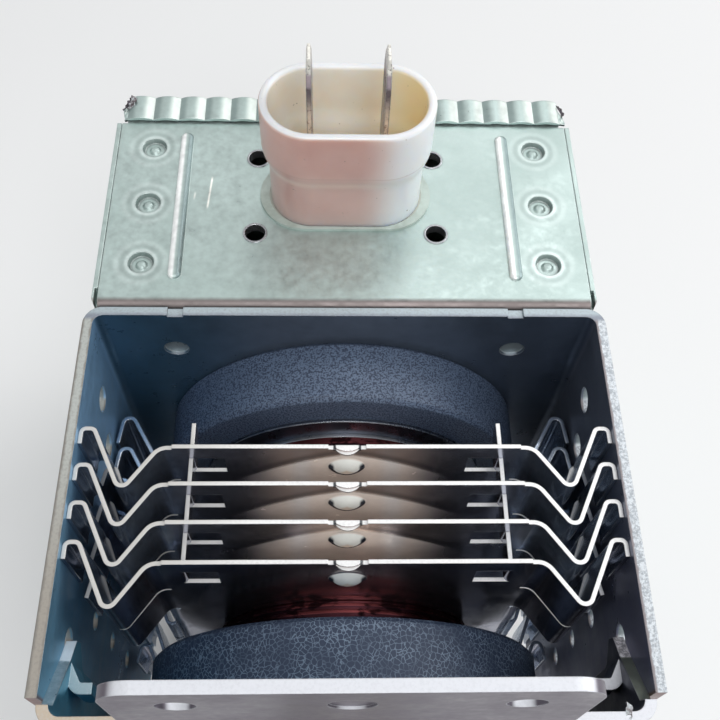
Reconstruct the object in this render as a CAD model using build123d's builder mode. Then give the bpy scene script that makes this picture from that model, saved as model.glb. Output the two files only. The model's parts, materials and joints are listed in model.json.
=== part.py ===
from build123d import *
import os
from math import asin, cos, sin

# Microwave-oven magnetron. Millimetres, +Z up, +Y along the tube axis from the antenna to the filter box.
# The origin is on the tube axis in the outer face of the mounting plate.

# Height shared by the yoke, the tray of the mounting plate and the filter box
HALF_HEIGHT = 38.5

# Yoke: a folded strip with one far wall and two side walls
YOKE_WIDTH = 80.0
YOKE_START = 3.7
YOKE_END = 61.0
YOKE_SHEET = 1.5
YOKE_BEND = 3.0
SIDE_WALL = YOKE_WIDTH / 2 - YOKE_SHEET
FAR_WALL = YOKE_END - YOKE_SHEET
TONGUE_Y = 12.9
TONGUE_DROP = 11.5
TONGUE_Z = HALF_HEIGHT - TONGUE_DROP
# Holes through both side walls: y, height from the middle, radius
SIDE_HOLES = [
    (YOKE_END - 9.8, HALF_HEIGHT - 11.9, 2.1), (YOKE_END - 14.4, HALF_HEIGHT - 19.6, 2.1),
    (YOKE_START + 15.9, HALF_HEIGHT - 25.2, 1.5), (TONGUE_Y, TONGUE_Z, 2.2)]
MIDDLE_HOLE = (YOKE_START + 15.9, 1.5)
NICK_X = 26.2
NICK = 0.5

# Clinched spots that hold the filter box to the yoke
CLINCH_X = 27.2
CLINCH_DROP = 10.0
CLINCH_Z = HALF_HEIGHT - CLINCH_DROP
CLINCH_RADIUS = 1.6
CLINCH_HEAD = 0.8
CLINCH_PRESS = 0.6

# Mounting plate: a tray with two flanges and two drilled ears
PLATE = 1.5
PLATE_BEND = 3.0
PLATE_OPENING = 12.5
FLANGE_REACH = 10.0
TONGUE_REACH = 13.3
EAR_HALF_WIDTH = 27.15
EAR_LENGTH = 21.4
EAR_CORNER = 4.0
EAR_HOLE_X = 19.2
EAR_HOLE_MARGIN = 6.6
EAR_HOLE_RADIUS = 2.3
EAR_DIMPLE_RADIUS = 2.75
EAR_DIMPLE = 0.35
TAB_Z = 24.0
TAB_HEIGHT = 6.0
EAR_REACH = HALF_HEIGHT + EAR_LENGTH
EAR_HOLE_Z = EAR_REACH - EAR_HOLE_MARGIN

# Magnets, shims and the flanges of the tube between them
MAGNET_RADIUS = 31.0
MAGNET_BORE = 12.0
MAGNET_BEVEL = 0.7
NEAR_MAGNET = 14.1
FAR_MAGNET = 10.6
SHIM = 0.6
SHIM_RADIUS = 24.4
FLANGE = 0.6
MAGNET_NEAR_END = PLATE + NEAR_MAGNET
MAGNET_FAR_START = FAR_WALL - FAR_MAGNET

# Tube
ANODE_RADIUS = 20.0
ANODE_WALL = 2.5
ANODE_BORE = ANODE_RADIUS - ANODE_WALL
ANODE_START = MAGNET_NEAR_END + SHIM + FLANGE
ANODE_END = MAGNET_FAR_START - SHIM - FLANGE
MIDDLE = (ANODE_START + ANODE_END) / 2
ANODE_LINES = 2.3
SEAL_RADIUS = 10.0
SEAL_WALL = 0.5
SEAL_CLEARANCE = 0.1
SHIM_CLEARANCE = 0.6
POLE_SEAT = 1.6
POLE_SEAT_WALL = 1.7
POLE_SEAT_RADIUS = ANODE_RADIUS - POLE_SEAT_WALL
POLE_SHOULDER = 12.0
POLE_NOSE = 7.6
POLE_BORE = 4.7
POLE_SHEET = 1.4
POLE_GAP = 12.6
VANES = 10
VANE_SHEET = 1.9
VANE_TIP = 4.55
VANE_HEIGHT = 9.5
STRAP_HEIGHT = 1.2
STRAP_RADII = [(7.25, 7.95), (8.75, 9.45)]
STRAP_MARGIN = 0.35

# Cathode, leads and stem
HAT_SPREAD = 5.6
HAT_RADIUS = 3.6
HAT_SHEET = 1.0
FILAMENT_RADIUS = 1.75
FILAMENT_WIRE = 0.25
FILAMENT_PITCH = 1.19
LEAD_RADIUS = 0.7
LEAD_X = 4.0
SIDE_LEAD_X = 2.5
LEAD_STAND = 3.0
STEM_RISE = 3.0
STEM_HEIGHT = 6.0
STEM_CLEARANCE = 3.0
STEM_START = YOKE_END + STEM_RISE
STEM_END = STEM_START + STEM_HEIGHT
STEM_OPENING = SEAL_RADIUS + STEM_CLEARANCE
HAT_A = MIDDLE - HAT_SPREAD
HAT_K = MIDDLE + HAT_SPREAD

# Antenna end
OUTPUT_START = -4.0
OUTPUT_HEIGHT = 9.0
OUTPUT_BORE = 7.2
EXHAUST_RADIUS = 2.6
EXHAUST_WALL = 0.6
EXHAUST_LENGTH = 6.0
ANTENNA_RADIUS = 1.0
ANTENNA_X = 11.0
ANTENNA_BEND = 6.0
ANTENNA_FALL = 13.2
CAP_RADIUS = 9.0
CAP_WALL = 0.5
CAP_HEIGHT = 11.0
OUTPUT_END = OUTPUT_START - OUTPUT_HEIGHT

# Gasket and its holder, coined into the outer face of the mounting plate
HOLDER_RADIUS = 17.2
HOLDER_SHEET = 0.5
HOLDER_NECK = 13.0
HOLDER_LIP = 1.1
SEAT_CLEARANCE = 0.2
GASKET_RADIUS = 17.0
GASKET_HEIGHT = 4.8
GASKET_ROUND = 1.4

# Cooling fins
FIN_SHEET = 0.6
FIN_PITCH = 5.643
FIN_OFFSET = 9.73
FIN_MARGIN = 0.86
FIN_STEP = 0.45
FIN_BEND = 26.85
FIN_SHOULDER = 1.85
FIN_WALL_CLEARANCE = 0.05
FIN_COLLAR = 2.4
COLLAR_ROUND = 0.9
HOOK_SLIT = 0.5
UPPER_HOOK_HEIGHT = 11.5
SECOND_HOOK_HEIGHT = 10.25
SPACER_X = 22.6
SPACER_ROUND = 0.5
SPACER_CLEARANCE = 0.003
WINDOW_WIDTH = 4.8
WINDOW_DROP = 8.4
WINDOW_HEIGHT = 4.9
DIMPLE_DROP = 6.4
DIMPLE_RADIUS = 2.8
DIMPLE_DEPTH = 1.1
BEAD_RADIUS = 1.7
BEAD_DEPTH = 0.85
BEAD_DROP = 0.4
FIN_FIRST = ANODE_END - FIN_OFFSET
FIN_TOP = HALF_HEIGHT - FIN_MARGIN
FIN_FLAT = FIN_BEND - FIN_SHOULDER
WINDOW_Z = FIN_TOP - WINDOW_DROP
DIMPLE_Z = FIN_TOP - DIMPLE_DROP
UPPER_SPLIT = FIN_TOP - UPPER_HOOK_HEIGHT
LOWER_SPLIT = UPPER_SPLIT - SECOND_HOOK_HEIGHT
LANCE = FIN_PITCH - FIN_SHEET - SPACER_CLEARANCE
HOOK_X = SIDE_WALL - FIN_WALL_CLEARANCE - FIN_SHEET / 2

# Filter box and its lid
BOX_SHEET = 0.8
BOX_INSET = 0.8
BOX_DEPTH = 42.4
BOX_BEND = 1.8
BOX_HALF_WIDTH = YOKE_WIDTH / 2 - BOX_INSET
BOX_END = YOKE_END + BOX_DEPTH
SEAM = 0.12
SEAM_DEPTH = 0.4
CORNER_SLOT = 3.4
RIB_X = 26.9
RIB_WIDTH = 2.1
RIB_HEIGHT = 0.6
RIB_MARGIN = 5.1
BUTTON_X = 32.3
BUTTON_PITCH = 11.9
BUTTON_RADIUS = 1.95
BUTTON_DEPTH = 0.9
NUB_RADIUS = 1.0
NUB_HEIGHT = 0.55
LID_SHEET = 0.6
LID_LIP = 4.5
LID_CORNER = 7.0
CRIMPS = 17
CRIMP_PITCH = 4.4
CRIMP_RISE = 0.5
LIP_HALF_WIDTH = CRIMPS * CRIMP_PITCH / 2

# Connector on the top of the box
CONNECTOR_OFFSET = 22.05
CONNECTOR_Y = YOKE_END + CONNECTOR_OFFSET
FIXING_X = 14.6
FIXING_Y = 7.85
FIXING_RADIUS = 1.95
FIXING_WALL = 0.3
FIXINGS = [(x, CONNECTOR_Y + y) for x in (-FIXING_X, FIXING_X) for y in (-FIXING_Y, FIXING_Y)]
CASE_X = 12.5
CASE_Y = 6.6
CASE_WALL = 1.0
CASE_DEPTH = 12.5
CAPACITOR_HEIGHT = 7.0
CAPACITOR_X = 10.6
CAPACITOR_Y = 5.2
BASE_GASKET = 0.5
BASE_GASKET_LIP = 1.5
BASE_GASKET_EDGE = 0.7
CUP_CENTRE = 5.35
CUP_FOOT = 6.8
CUP_RIM = 7.8
CUP_WALL = 1.35
CUP_BODY = 8.2
CUP_FLARE = 5.0
CUP_HEIGHT = 21.3
CUP_RIM_ROUND = 0.5
RESIN_DEPTH = 2.6
BLADE_X = 5.6
BLADE_SHEET = 0.8
BLADE_HALF_WIDTH = 3.15
BLADE_STEM = 1.6
BLADE_TIP = 1.5
BLADE_TAIL = 7.0
BLADE_STAND = 8.9
BLADE_TAPER = 4.1
BLADE_HOLE = 0.9
CASE_FLOOR = HALF_HEIGHT - CASE_DEPTH
SHELL_FOOT = HALF_HEIGHT + BASE_GASKET
RIM_TOP = SHELL_FOOT + CUP_HEIGHT
BLADE_FOOT = CASE_FLOOR - BLADE_TAIL
BLADE_TOP = RIM_TOP + BLADE_STAND

# Chokes inside the box
TERMINAL_SHEET = 0.8
TERMINAL_PAD = 1.5
CHOKE_X = 16.0
CHOKE_RADIUS = 3.6
CHOKE_START = -8.0
CHOKE_LENGTH = 20.0
CHOKE_TURNS = 8
CORE_STAND = 2.0
WIRE_RADIUS = 0.7
BLADE_JOINT = 1.5
CHOKE_END = CHOKE_START + CHOKE_LENGTH
CHOKE_FOOT_X = CHOKE_X - CHOKE_RADIUS


def facing(y):
    """Plane across the tube axis, x to the right and z up, that faces the antenna end."""
    return Plane((0, y, 0), x_dir=(1, 0, 0), z_dir=(0, -1, 0))


def disc(start, end, outer, inner=0.0, mode=Mode.ADD):
    """Round plate or tube on the tube axis, from start to end along y."""
    with BuildSketch(facing(end)) as outline:
        Circle(outer)
        if inner:
            Circle(inner, mode=Mode.SUBTRACT)
    extrude(outline.sketch, amount=end - start, mode=mode)


def stud(x, z, start, end, radius, mode=Mode.ADD):
    """Round stud or hole beside the tube axis, from start to end along y."""
    with BuildSketch(facing(end)) as outline:
        with Locations((x, z)):
            Circle(radius)
    extrude(outline.sketch, amount=end - start, mode=mode)


def turned(points, mode=Mode.ADD):
    """Body of revolution about the tube axis from (radius, y) points."""
    with BuildSketch(Plane.XY) as outline:
        with BuildLine():
            Polyline(*points, close=True)
        make_face()
    revolve(outline.sketch, axis=Axis.Y, mode=mode)


def block(x0, x1, y0, y1, z0, z1, mode=Mode.ADD):
    """Straight block between two corners."""
    with Locations(((x0 + x1) / 2, (y0 + y1) / 2, (z0 + z1) / 2)):
        Box(abs(x1 - x0), abs(y1 - y0), abs(z1 - z0), mode=mode)


def rod(start, end, radius, mode=Mode.ADD):
    """Round wire between two points."""
    start, end = Vector(*start), Vector(*end)
    with BuildSketch(Plane(start, z_dir=end - start)) as outline:
        Circle(radius)
    extrude(outline.sketch, amount=(end - start).length, mode=mode)


def oval(z0, z1, half_x, half_y, mode=Mode.ADD):
    """Upright oval column centred on the connector."""
    with BuildSketch(Plane.XY.offset(z0)) as outline:
        with Locations((0, CONNECTOR_Y)):
            SlotOverall(2 * half_x, 2 * half_y)
    extrude(outline.sketch, amount=z1 - z0, mode=mode)


def drop(x, y, z, points, mode=Mode.ADD):
    """Small body turned about an upright axis at x, y from (radius, height above z) points."""
    with BuildSketch(Plane((x, y, z), x_dir=(1, 0, 0), z_dir=(0, -1, 0))) as outline:
        with BuildLine():
            Polyline(*points, close=True)
        make_face()
    revolve(outline.sketch, axis=Axis((x, y, z), (0, 0, 1)), mode=mode)


with BuildPart() as yoke_frame:
    half = YOKE_WIDTH / 2
    with BuildSketch(Plane.XY):
        with BuildLine():
            FilletPolyline(
                (-half, YOKE_START), (-half, YOKE_END), (half, YOKE_END), (half, YOKE_START), radius=YOKE_BEND)
            FilletPolyline(
                (SIDE_WALL, YOKE_START), (SIDE_WALL, FAR_WALL), (-SIDE_WALL, FAR_WALL), (-SIDE_WALL, YOKE_START),
                radius=YOKE_BEND - YOKE_SHEET)
            Line((-half, YOKE_START), (-SIDE_WALL, YOKE_START))
            Line((half, YOKE_START), (SIDE_WALL, YOKE_START))
        make_face()
    extrude(amount=HALF_HEIGHT, both=True)
    # Opening for the cathode stem in the far wall
    disc(FAR_WALL, YOKE_END, STEM_OPENING, mode=Mode.SUBTRACT)
    with BuildSketch(Plane.YZ):
        for y, z, radius in SIDE_HOLES:
            with Locations((y, z), (y, -z)):
                Circle(radius)
        with Locations((MIDDLE_HOLE[0], 0)):
            Circle(MIDDLE_HOLE[1])
    extrude(amount=half + 1, both=True, mode=Mode.SUBTRACT)
    # Four spots pushed out of the far wall to clinch the filter box
    for x in (-CLINCH_X, CLINCH_X):
        for z in (-CLINCH_Z, CLINCH_Z):
            stud(x, z, FAR_WALL, FAR_WALL + CLINCH_PRESS, CLINCH_RADIUS + 0.4, Mode.SUBTRACT)
            stud(x, z, YOKE_END, YOKE_END + BOX_SHEET, CLINCH_RADIUS)
            stud(x, z, YOKE_END + BOX_SHEET, YOKE_END + BOX_SHEET + 0.4, CLINCH_RADIUS + CLINCH_HEAD)
    # Small locating nicks in the rim of the far wall
    for x in (-NICK_X, NICK_X):
        block(x - 1.2, x + 1.2, FAR_WALL, YOKE_END, HALF_HEIGHT - NICK, HALF_HEIGHT, Mode.SUBTRACT)

with BuildPart() as mounting_plate:
    # Tray with a folded flange on each side, seated between the side walls of the yoke
    flange_inside = SIDE_WALL - PLATE
    with BuildSketch(Plane.XY):
        with BuildLine():
            FilletPolyline(
                (-SIDE_WALL, TONGUE_REACH), (-SIDE_WALL, 0), (SIDE_WALL, 0), (SIDE_WALL, TONGUE_REACH),
                radius=PLATE_BEND)
            FilletPolyline(
                (flange_inside, TONGUE_REACH), (flange_inside, PLATE), (-flange_inside, PLATE),
                (-flange_inside, TONGUE_REACH), radius=PLATE_BEND - PLATE)
            Line((-SIDE_WALL, TONGUE_REACH), (-flange_inside, TONGUE_REACH))
            Line((SIDE_WALL, TONGUE_REACH), (flange_inside, TONGUE_REACH))
        make_face()
    extrude(amount=HALF_HEIGHT, both=True)
    # Sloping shoulders of the flanges, with a tongue beside each large hole of the side walls
    for side in (1, -1):
        with BuildSketch(Plane.YZ):
            with BuildLine():
                Polyline(*[(y, side * z) for y, z in [
                    (2.8, HALF_HEIGHT + 1), (3.2, HALF_HEIGHT - 2.2), (FLANGE_REACH - 0.2, TONGUE_Z + 3.7),
                    (TONGUE_REACH - 0.35, TONGUE_Z + 1.6), (TONGUE_REACH, TONGUE_Z - 0.6),
                    (FLANGE_REACH + 0.4, TONGUE_Z - 3.2), (FLANGE_REACH, TONGUE_Z - 4.6), (FLANGE_REACH, 0),
                    (TONGUE_REACH + 1, 0), (TONGUE_REACH + 1, HALF_HEIGHT + 1)]], close=True)
            make_face()
        extrude(amount=SIDE_WALL + 1, both=True, mode=Mode.SUBTRACT)
    # Tabs folded inward from the flanges
    for sign in (-1, 1):
        for side in (1, -1):
            with BuildSketch(Plane.XY.offset(min(side * TAB_Z, side * (TAB_Z + TAB_HEIGHT)))):
                with BuildLine() as path:
                    FilletPolyline(
                        (sign * (SIDE_WALL - 0.85), 9.4), (sign * (flange_inside - 1.0), 6.4),
                        (sign * (flange_inside - 3.1), 6.4), radius=1.2)
                trace(path.line, line_width=PLATE)
            extrude(amount=TAB_HEIGHT)
    # Ears above and below the tray
    for side in (1, -1):
        with BuildSketch(facing(PLATE)):
            with Locations((0, side * (EAR_REACH + HALF_HEIGHT - 8) / 2)):
                Rectangle(2 * EAR_HALF_WIDTH, EAR_LENGTH + 8)
        extrude(amount=PLATE)
    ear_corners = mounting_plate.edges().filter_by(Axis.Y).filter_by(lambda e: abs(e.center().Z) > EAR_REACH - 1)
    fillet(ear_corners, EAR_CORNER)
    for z in (-EAR_HOLE_Z, EAR_HOLE_Z):
        for x in (-EAR_HOLE_X, EAR_HOLE_X):
            stud(x, z, -1, PLATE + 1, EAR_HOLE_RADIUS, Mode.SUBTRACT)
        stud(0, z, 0, EAR_DIMPLE, EAR_DIMPLE_RADIUS, Mode.SUBTRACT)
    # Coined seat of the gasket holder round the opening
    disc(-1, PLATE + 1, PLATE_OPENING, mode=Mode.SUBTRACT)
    disc(-1, HOLDER_SHEET, HOLDER_RADIUS + SEAT_CLEARANCE, mode=Mode.SUBTRACT)

with BuildPart() as antenna_magnet:
    disc(PLATE, MAGNET_NEAR_END, MAGNET_RADIUS, MAGNET_BORE)
    chamfer(antenna_magnet.edges().filter_by(GeomType.CIRCLE), MAGNET_BEVEL)

with BuildPart() as cathode_magnet:
    disc(MAGNET_FAR_START, FAR_WALL, MAGNET_RADIUS, MAGNET_BORE)
    chamfer(cathode_magnet.edges().filter_by(GeomType.CIRCLE), MAGNET_BEVEL)

with BuildPart() as antenna_shim:
    disc(MAGNET_NEAR_END, MAGNET_NEAR_END + SHIM, SHIM_RADIUS, SEAL_RADIUS + SHIM_CLEARANCE)

with BuildPart() as cathode_shim:
    disc(MAGNET_FAR_START - SHIM, MAGNET_FAR_START, SHIM_RADIUS, SEAL_RADIUS + SHIM_CLEARANCE)

# Drawn metal cups that close the tube and carry the ceramics
SEAL_BORE = SEAL_RADIUS - SEAL_WALL

with BuildPart() as antenna_seal_cup:
    turned([
        (SEAL_BORE, ANODE_START), (ANODE_RADIUS, ANODE_START), (ANODE_RADIUS, ANODE_START - FLANGE),
        (SEAL_RADIUS, ANODE_START - FLANGE), (SEAL_RADIUS, OUTPUT_START), (SEAL_BORE, OUTPUT_START)])

with BuildPart() as cathode_seal_cup:
    turned([
        (SEAL_BORE, ANODE_END), (ANODE_RADIUS, ANODE_END), (ANODE_RADIUS, ANODE_END + FLANGE),
        (SEAL_RADIUS, ANODE_END + FLANGE), (SEAL_RADIUS, STEM_START), (SEAL_BORE, STEM_START)])

with BuildPart() as anode_block:
    disc(ANODE_START, ANODE_END, ANODE_RADIUS, ANODE_BORE)
    # Vanes that stand inward from the cylinder
    with Locations(Location((0, MIDDLE, 0), (-90, 0, 0))):
        with PolarLocations(0, VANES):
            with Locations(((VANE_TIP + ANODE_BORE + 0.5) / 2, 0, 0)):
                Box(ANODE_BORE + 0.5 - VANE_TIP, VANE_SHEET, VANE_HEIGHT)
    # Seats of the pole pieces
    disc(ANODE_START, ANODE_START + POLE_SEAT, POLE_SEAT_RADIUS, mode=Mode.SUBTRACT)
    disc(ANODE_END - POLE_SEAT, ANODE_END, POLE_SEAT_RADIUS, mode=Mode.SUBTRACT)
    # Strap grooves in both ends of the vanes; each strap rests on every second vane only
    top, bottom = MIDDLE + VANE_HEIGHT / 2, MIDDLE - VANE_HEIGHT / 2
    groove_outer, groove_inner = STRAP_RADII[-1][1] + STRAP_MARGIN, STRAP_RADII[0][0] - STRAP_MARGIN
    disc(top - STRAP_HEIGHT, top, groove_outer, groove_inner, Mode.SUBTRACT)
    disc(bottom, bottom + STRAP_HEIGHT, groove_outer, groove_inner, Mode.SUBTRACT)
    for (inside, outside), first in zip(STRAP_RADII, (0, 180 / VANES * 2)):
        for y in (top - STRAP_HEIGHT, bottom + STRAP_HEIGHT):
            with Locations(Location((0, y, 0), (-90, 0, 0))):
                with PolarLocations((inside + outside) / 2, VANES // 2, start_angle=first):
                    Box(outside - inside + 2 * STRAP_MARGIN, VANE_SHEET + 1, 0.8, mode=Mode.SUBTRACT)
    # Turned lines on the outside near the antenna end
    for line in range(3):
        y = ANODE_START + ANODE_LINES + line * 0.8
        disc(y, y + 0.25, ANODE_RADIUS + 1, ANODE_RADIUS - 0.15, Mode.SUBTRACT)

straps = {}
for name, (inner_radius, outer_radius) in zip(("inner", "outer"), STRAP_RADII):
    for end, start in (("antenna", MIDDLE - VANE_HEIGHT / 2), ("cathode", MIDDLE + VANE_HEIGHT / 2 - STRAP_HEIGHT)):
        with BuildPart() as strap:
            disc(start, start + STRAP_HEIGHT, outer_radius, inner_radius)
        straps[f"{end}_{name}_strap"] = strap

with BuildPart() as antenna_pole:
    nose = MIDDLE - POLE_GAP / 2
    turned([
        (SEAL_BORE - SEAL_CLEARANCE, ANODE_START), (POLE_SEAT_RADIUS, ANODE_START),
        (POLE_SEAT_RADIUS, ANODE_START + POLE_SEAT), (POLE_SHOULDER, ANODE_START + POLE_SEAT),
        (POLE_NOSE, nose), (POLE_BORE, nose), (POLE_BORE, nose - POLE_SHEET)])
    # Slanting passage along the antenna lead
    bend = MIDDLE - VANE_HEIGHT / 2 - ANTENNA_BEND
    rod((1.15 * ANTENNA_X, bend + 0.15 * ANTENNA_FALL, 0), (0.4 * ANTENNA_X, bend - 0.6 * ANTENNA_FALL, 0),
        ANTENNA_RADIUS + 0.7, Mode.SUBTRACT)

with BuildPart() as cathode_pole:
    nose = MIDDLE + POLE_GAP / 2
    turned([
        (SEAL_BORE - SEAL_CLEARANCE, ANODE_END), (POLE_SEAT_RADIUS, ANODE_END),
        (POLE_SEAT_RADIUS, ANODE_END - POLE_SEAT), (POLE_SHOULDER, ANODE_END - POLE_SEAT),
        (POLE_NOSE, nose), (POLE_BORE, nose), (POLE_BORE, nose + POLE_SHEET)])

# Cathode: a coiled filament between two end hats, on two leads
with BuildPart() as antenna_end_hat:
    disc(HAT_A - HAT_SHEET, HAT_A, HAT_RADIUS, LEAD_RADIUS)

with BuildPart() as cathode_end_hat:
    disc(HAT_K, HAT_K + HAT_SHEET, HAT_RADIUS, LEAD_RADIUS + 0.35)

with BuildPart() as filament:
    with BuildLine() as spiral:
        Helix(
            pitch=FILAMENT_PITCH, height=HAT_K - HAT_A - 2 * FILAMENT_WIRE, radius=FILAMENT_RADIUS,
            center=(0, HAT_A + FILAMENT_WIRE, 0), direction=(0, 1, 0))
    with BuildSketch(Plane(spiral.line @ 0, z_dir=spiral.line % 0)):
        RegularPolygon(FILAMENT_WIRE, 4)
    sweep(is_frenet=True)

with BuildPart() as centre_lead:
    with BuildLine():
        FilletPolyline(
            (0, HAT_A - HAT_SHEET, 0), (0, HAT_K + 4, 0), (-LEAD_X, HAT_K + 11, 0),
            (-LEAD_X, STEM_END + LEAD_STAND, 0), radius=2)
    with BuildSketch(facing(HAT_A - HAT_SHEET)):
        Circle(LEAD_RADIUS)
    sweep()

with BuildPart() as side_lead:
    with BuildLine():
        FilletPolyline(
            (SIDE_LEAD_X, HAT_K + HAT_SHEET, 0), (SIDE_LEAD_X, HAT_K + 5, 0), (LEAD_X, HAT_K + 10, 0),
            (LEAD_X, STEM_END + LEAD_STAND, 0), radius=2)
    with BuildSketch(Plane((SIDE_LEAD_X, HAT_K + HAT_SHEET, 0), x_dir=(1, 0, 0), z_dir=(0, 1, 0))):
        Circle(LEAD_RADIUS)
    sweep()

with BuildPart() as stem_ceramic:
    disc(STEM_START, STEM_END, SEAL_RADIUS + 0.2)
    for x in (-LEAD_X, LEAD_X):
        stud(x, 0, STEM_START, STEM_END, LEAD_RADIUS, Mode.SUBTRACT)

# Flat terminals on the ceramic, slipped over the leads
stem_terminals = {}
for side, sign in (("left", -1), ("right", 1)):
    with BuildPart() as stem_terminal:
        with BuildSketch(facing(STEM_END + TERMINAL_SHEET)):
            with BuildLine():
                Polyline(*[(sign * x, z) for x, z in [
                    (LEAD_X - 1.8, 1.8), (LEAD_X + 1.6, 1.8), (CHOKE_FOOT_X + TERMINAL_PAD, CHOKE_START + 2.0),
                    (CHOKE_FOOT_X + TERMINAL_PAD, CHOKE_START - 1.6), (CHOKE_FOOT_X - TERMINAL_PAD, CHOKE_START - 1.6),
                    (CHOKE_FOOT_X - TERMINAL_PAD, CHOKE_START + 1.4), (LEAD_X + 0.6, -1.8), (LEAD_X - 1.8, -1.8)]],
                    close=True)
            make_face()
        extrude(amount=TERMINAL_SHEET)
        stud(sign * LEAD_X, 0, STEM_END - 1, STEM_END + 2, LEAD_RADIUS, Mode.SUBTRACT)
    stem_terminals[f"stem_terminal_{side}"] = stem_terminal

# Choke coils on ferrite rods, from the stem terminals up to the connector blades
ferrite_cores, choke_coils = {}, {}
for side, sign in (("left", -1), ("right", 1)):
    with BuildPart() as ferrite_core:
        with Locations((sign * CHOKE_X, CONNECTOR_Y, (CHOKE_START + CHOKE_END) / 2)):
            Cylinder(CHOKE_RADIUS - WIRE_RADIUS, CHOKE_LENGTH + 2 * CORE_STAND)
    ferrite_cores[f"ferrite_core_{side}"] = ferrite_core

    with BuildPart() as turns:
        with BuildLine() as spiral:
            Helix(pitch=CHOKE_LENGTH / CHOKE_TURNS, height=CHOKE_LENGTH, radius=CHOKE_RADIUS)
        with BuildSketch(Plane(spiral.line @ 0, z_dir=spiral.line % 0)):
            RegularPolygon(WIRE_RADIUS - 0.05, 6)
        sweep(is_frenet=True)
    place = Location((sign * CHOKE_X, CONNECTOR_Y, CHOKE_START), (0, 0, 180 if sign > 0 else 0))
    joint_z = BLADE_FOOT + BLADE_JOINT
    foot = (sign * CHOKE_FOOT_X, CONNECTOR_Y, CHOKE_START)
    head = (sign * CHOKE_FOOT_X, CONNECTOR_Y, CHOKE_END)
    bend = (sign * CHOKE_FOOT_X, CONNECTOR_Y, joint_z)
    with BuildPart() as choke_coil:
        add(place * turns.part)
        with Locations(foot, head, bend):
            Sphere(WIRE_RADIUS)
        rod(foot, (sign * CHOKE_FOOT_X, STEM_END + TERMINAL_SHEET, CHOKE_START), WIRE_RADIUS)
        rod(head, bend, WIRE_RADIUS)
        rod(bend, (sign * (BLADE_X + BLADE_SHEET / 2), CONNECTOR_Y, joint_z), WIRE_RADIUS)
    choke_coils[f"choke_coil_{side}"] = choke_coil

with BuildPart() as output_ceramic:
    disc(OUTPUT_END, OUTPUT_START, SEAL_RADIUS + 0.2, OUTPUT_BORE)

with BuildPart() as exhaust_tube:
    neck, shoulder = OUTPUT_END - EXHAUST_WALL, OUTPUT_END - EXHAUST_LENGTH
    bore = EXHAUST_RADIUS - EXHAUST_WALL
    turned([
        (bore, OUTPUT_END), (SEAL_RADIUS - 0.2, OUTPUT_END), (SEAL_RADIUS - 0.2, neck), (EXHAUST_RADIUS, neck),
        (EXHAUST_RADIUS, shoulder), (bore, shoulder)])
    # Pinched tip
    with BuildSketch(facing(shoulder)):
        Circle(EXHAUST_RADIUS)
    with BuildSketch(facing(shoulder - 3)):
        Rectangle(2.3 * EXHAUST_RADIUS, 0.8)
    loft()

with BuildPart() as antenna_lead:
    vane_end = MIDDLE - VANE_HEIGHT / 2
    with BuildLine():
        FilletPolyline(
            (ANTENNA_X, vane_end, 0), (ANTENNA_X, vane_end - ANTENNA_BEND, 0),
            (0, vane_end - ANTENNA_BEND - ANTENNA_FALL, 0), (0, OUTPUT_END - EXHAUST_LENGTH, 0),
            radius=2)
    with BuildSketch(facing(vane_end)):
        with Locations((ANTENNA_X, 0)):
            Circle(ANTENNA_RADIUS)
    sweep()

with BuildPart() as antenna_cap:
    brim, crown = OUTPUT_END - EXHAUST_WALL, OUTPUT_END - EXHAUST_WALL - CAP_HEIGHT
    turned([
        (CAP_RADIUS - CAP_WALL, brim), (CAP_RADIUS, brim), (CAP_RADIUS, crown + 1.4), (CAP_RADIUS - 1.4, crown),
        (0, crown), (0, crown + CAP_WALL), (CAP_RADIUS - 1.6, crown + CAP_WALL), (CAP_RADIUS - CAP_WALL, crown + 1.6)])

with BuildPart() as gasket_holder:
    neck, lip = HOLDER_NECK + HOLDER_SHEET, HOLDER_NECK + HOLDER_SHEET + HOLDER_LIP
    turned([
        (PLATE_OPENING, HOLDER_SHEET), (HOLDER_RADIUS, HOLDER_SHEET), (HOLDER_RADIUS, 0), (neck, 0),
        (neck, -GASKET_HEIGHT), (lip, -GASKET_HEIGHT), (lip, -GASKET_HEIGHT - HOLDER_SHEET),
        (HOLDER_NECK, -GASKET_HEIGHT - HOLDER_SHEET), (HOLDER_NECK, 0), (PLATE_OPENING, 0)])

with BuildPart() as rf_gasket:
    disc(-GASKET_HEIGHT, 0, GASKET_RADIUS, HOLDER_NECK + HOLDER_SHEET)
    rims = rf_gasket.edges().filter_by(GeomType.CIRCLE).filter_by(lambda e: e.radius > GASKET_RADIUS - 1)
    chamfer(rims, GASKET_ROUND)

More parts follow.
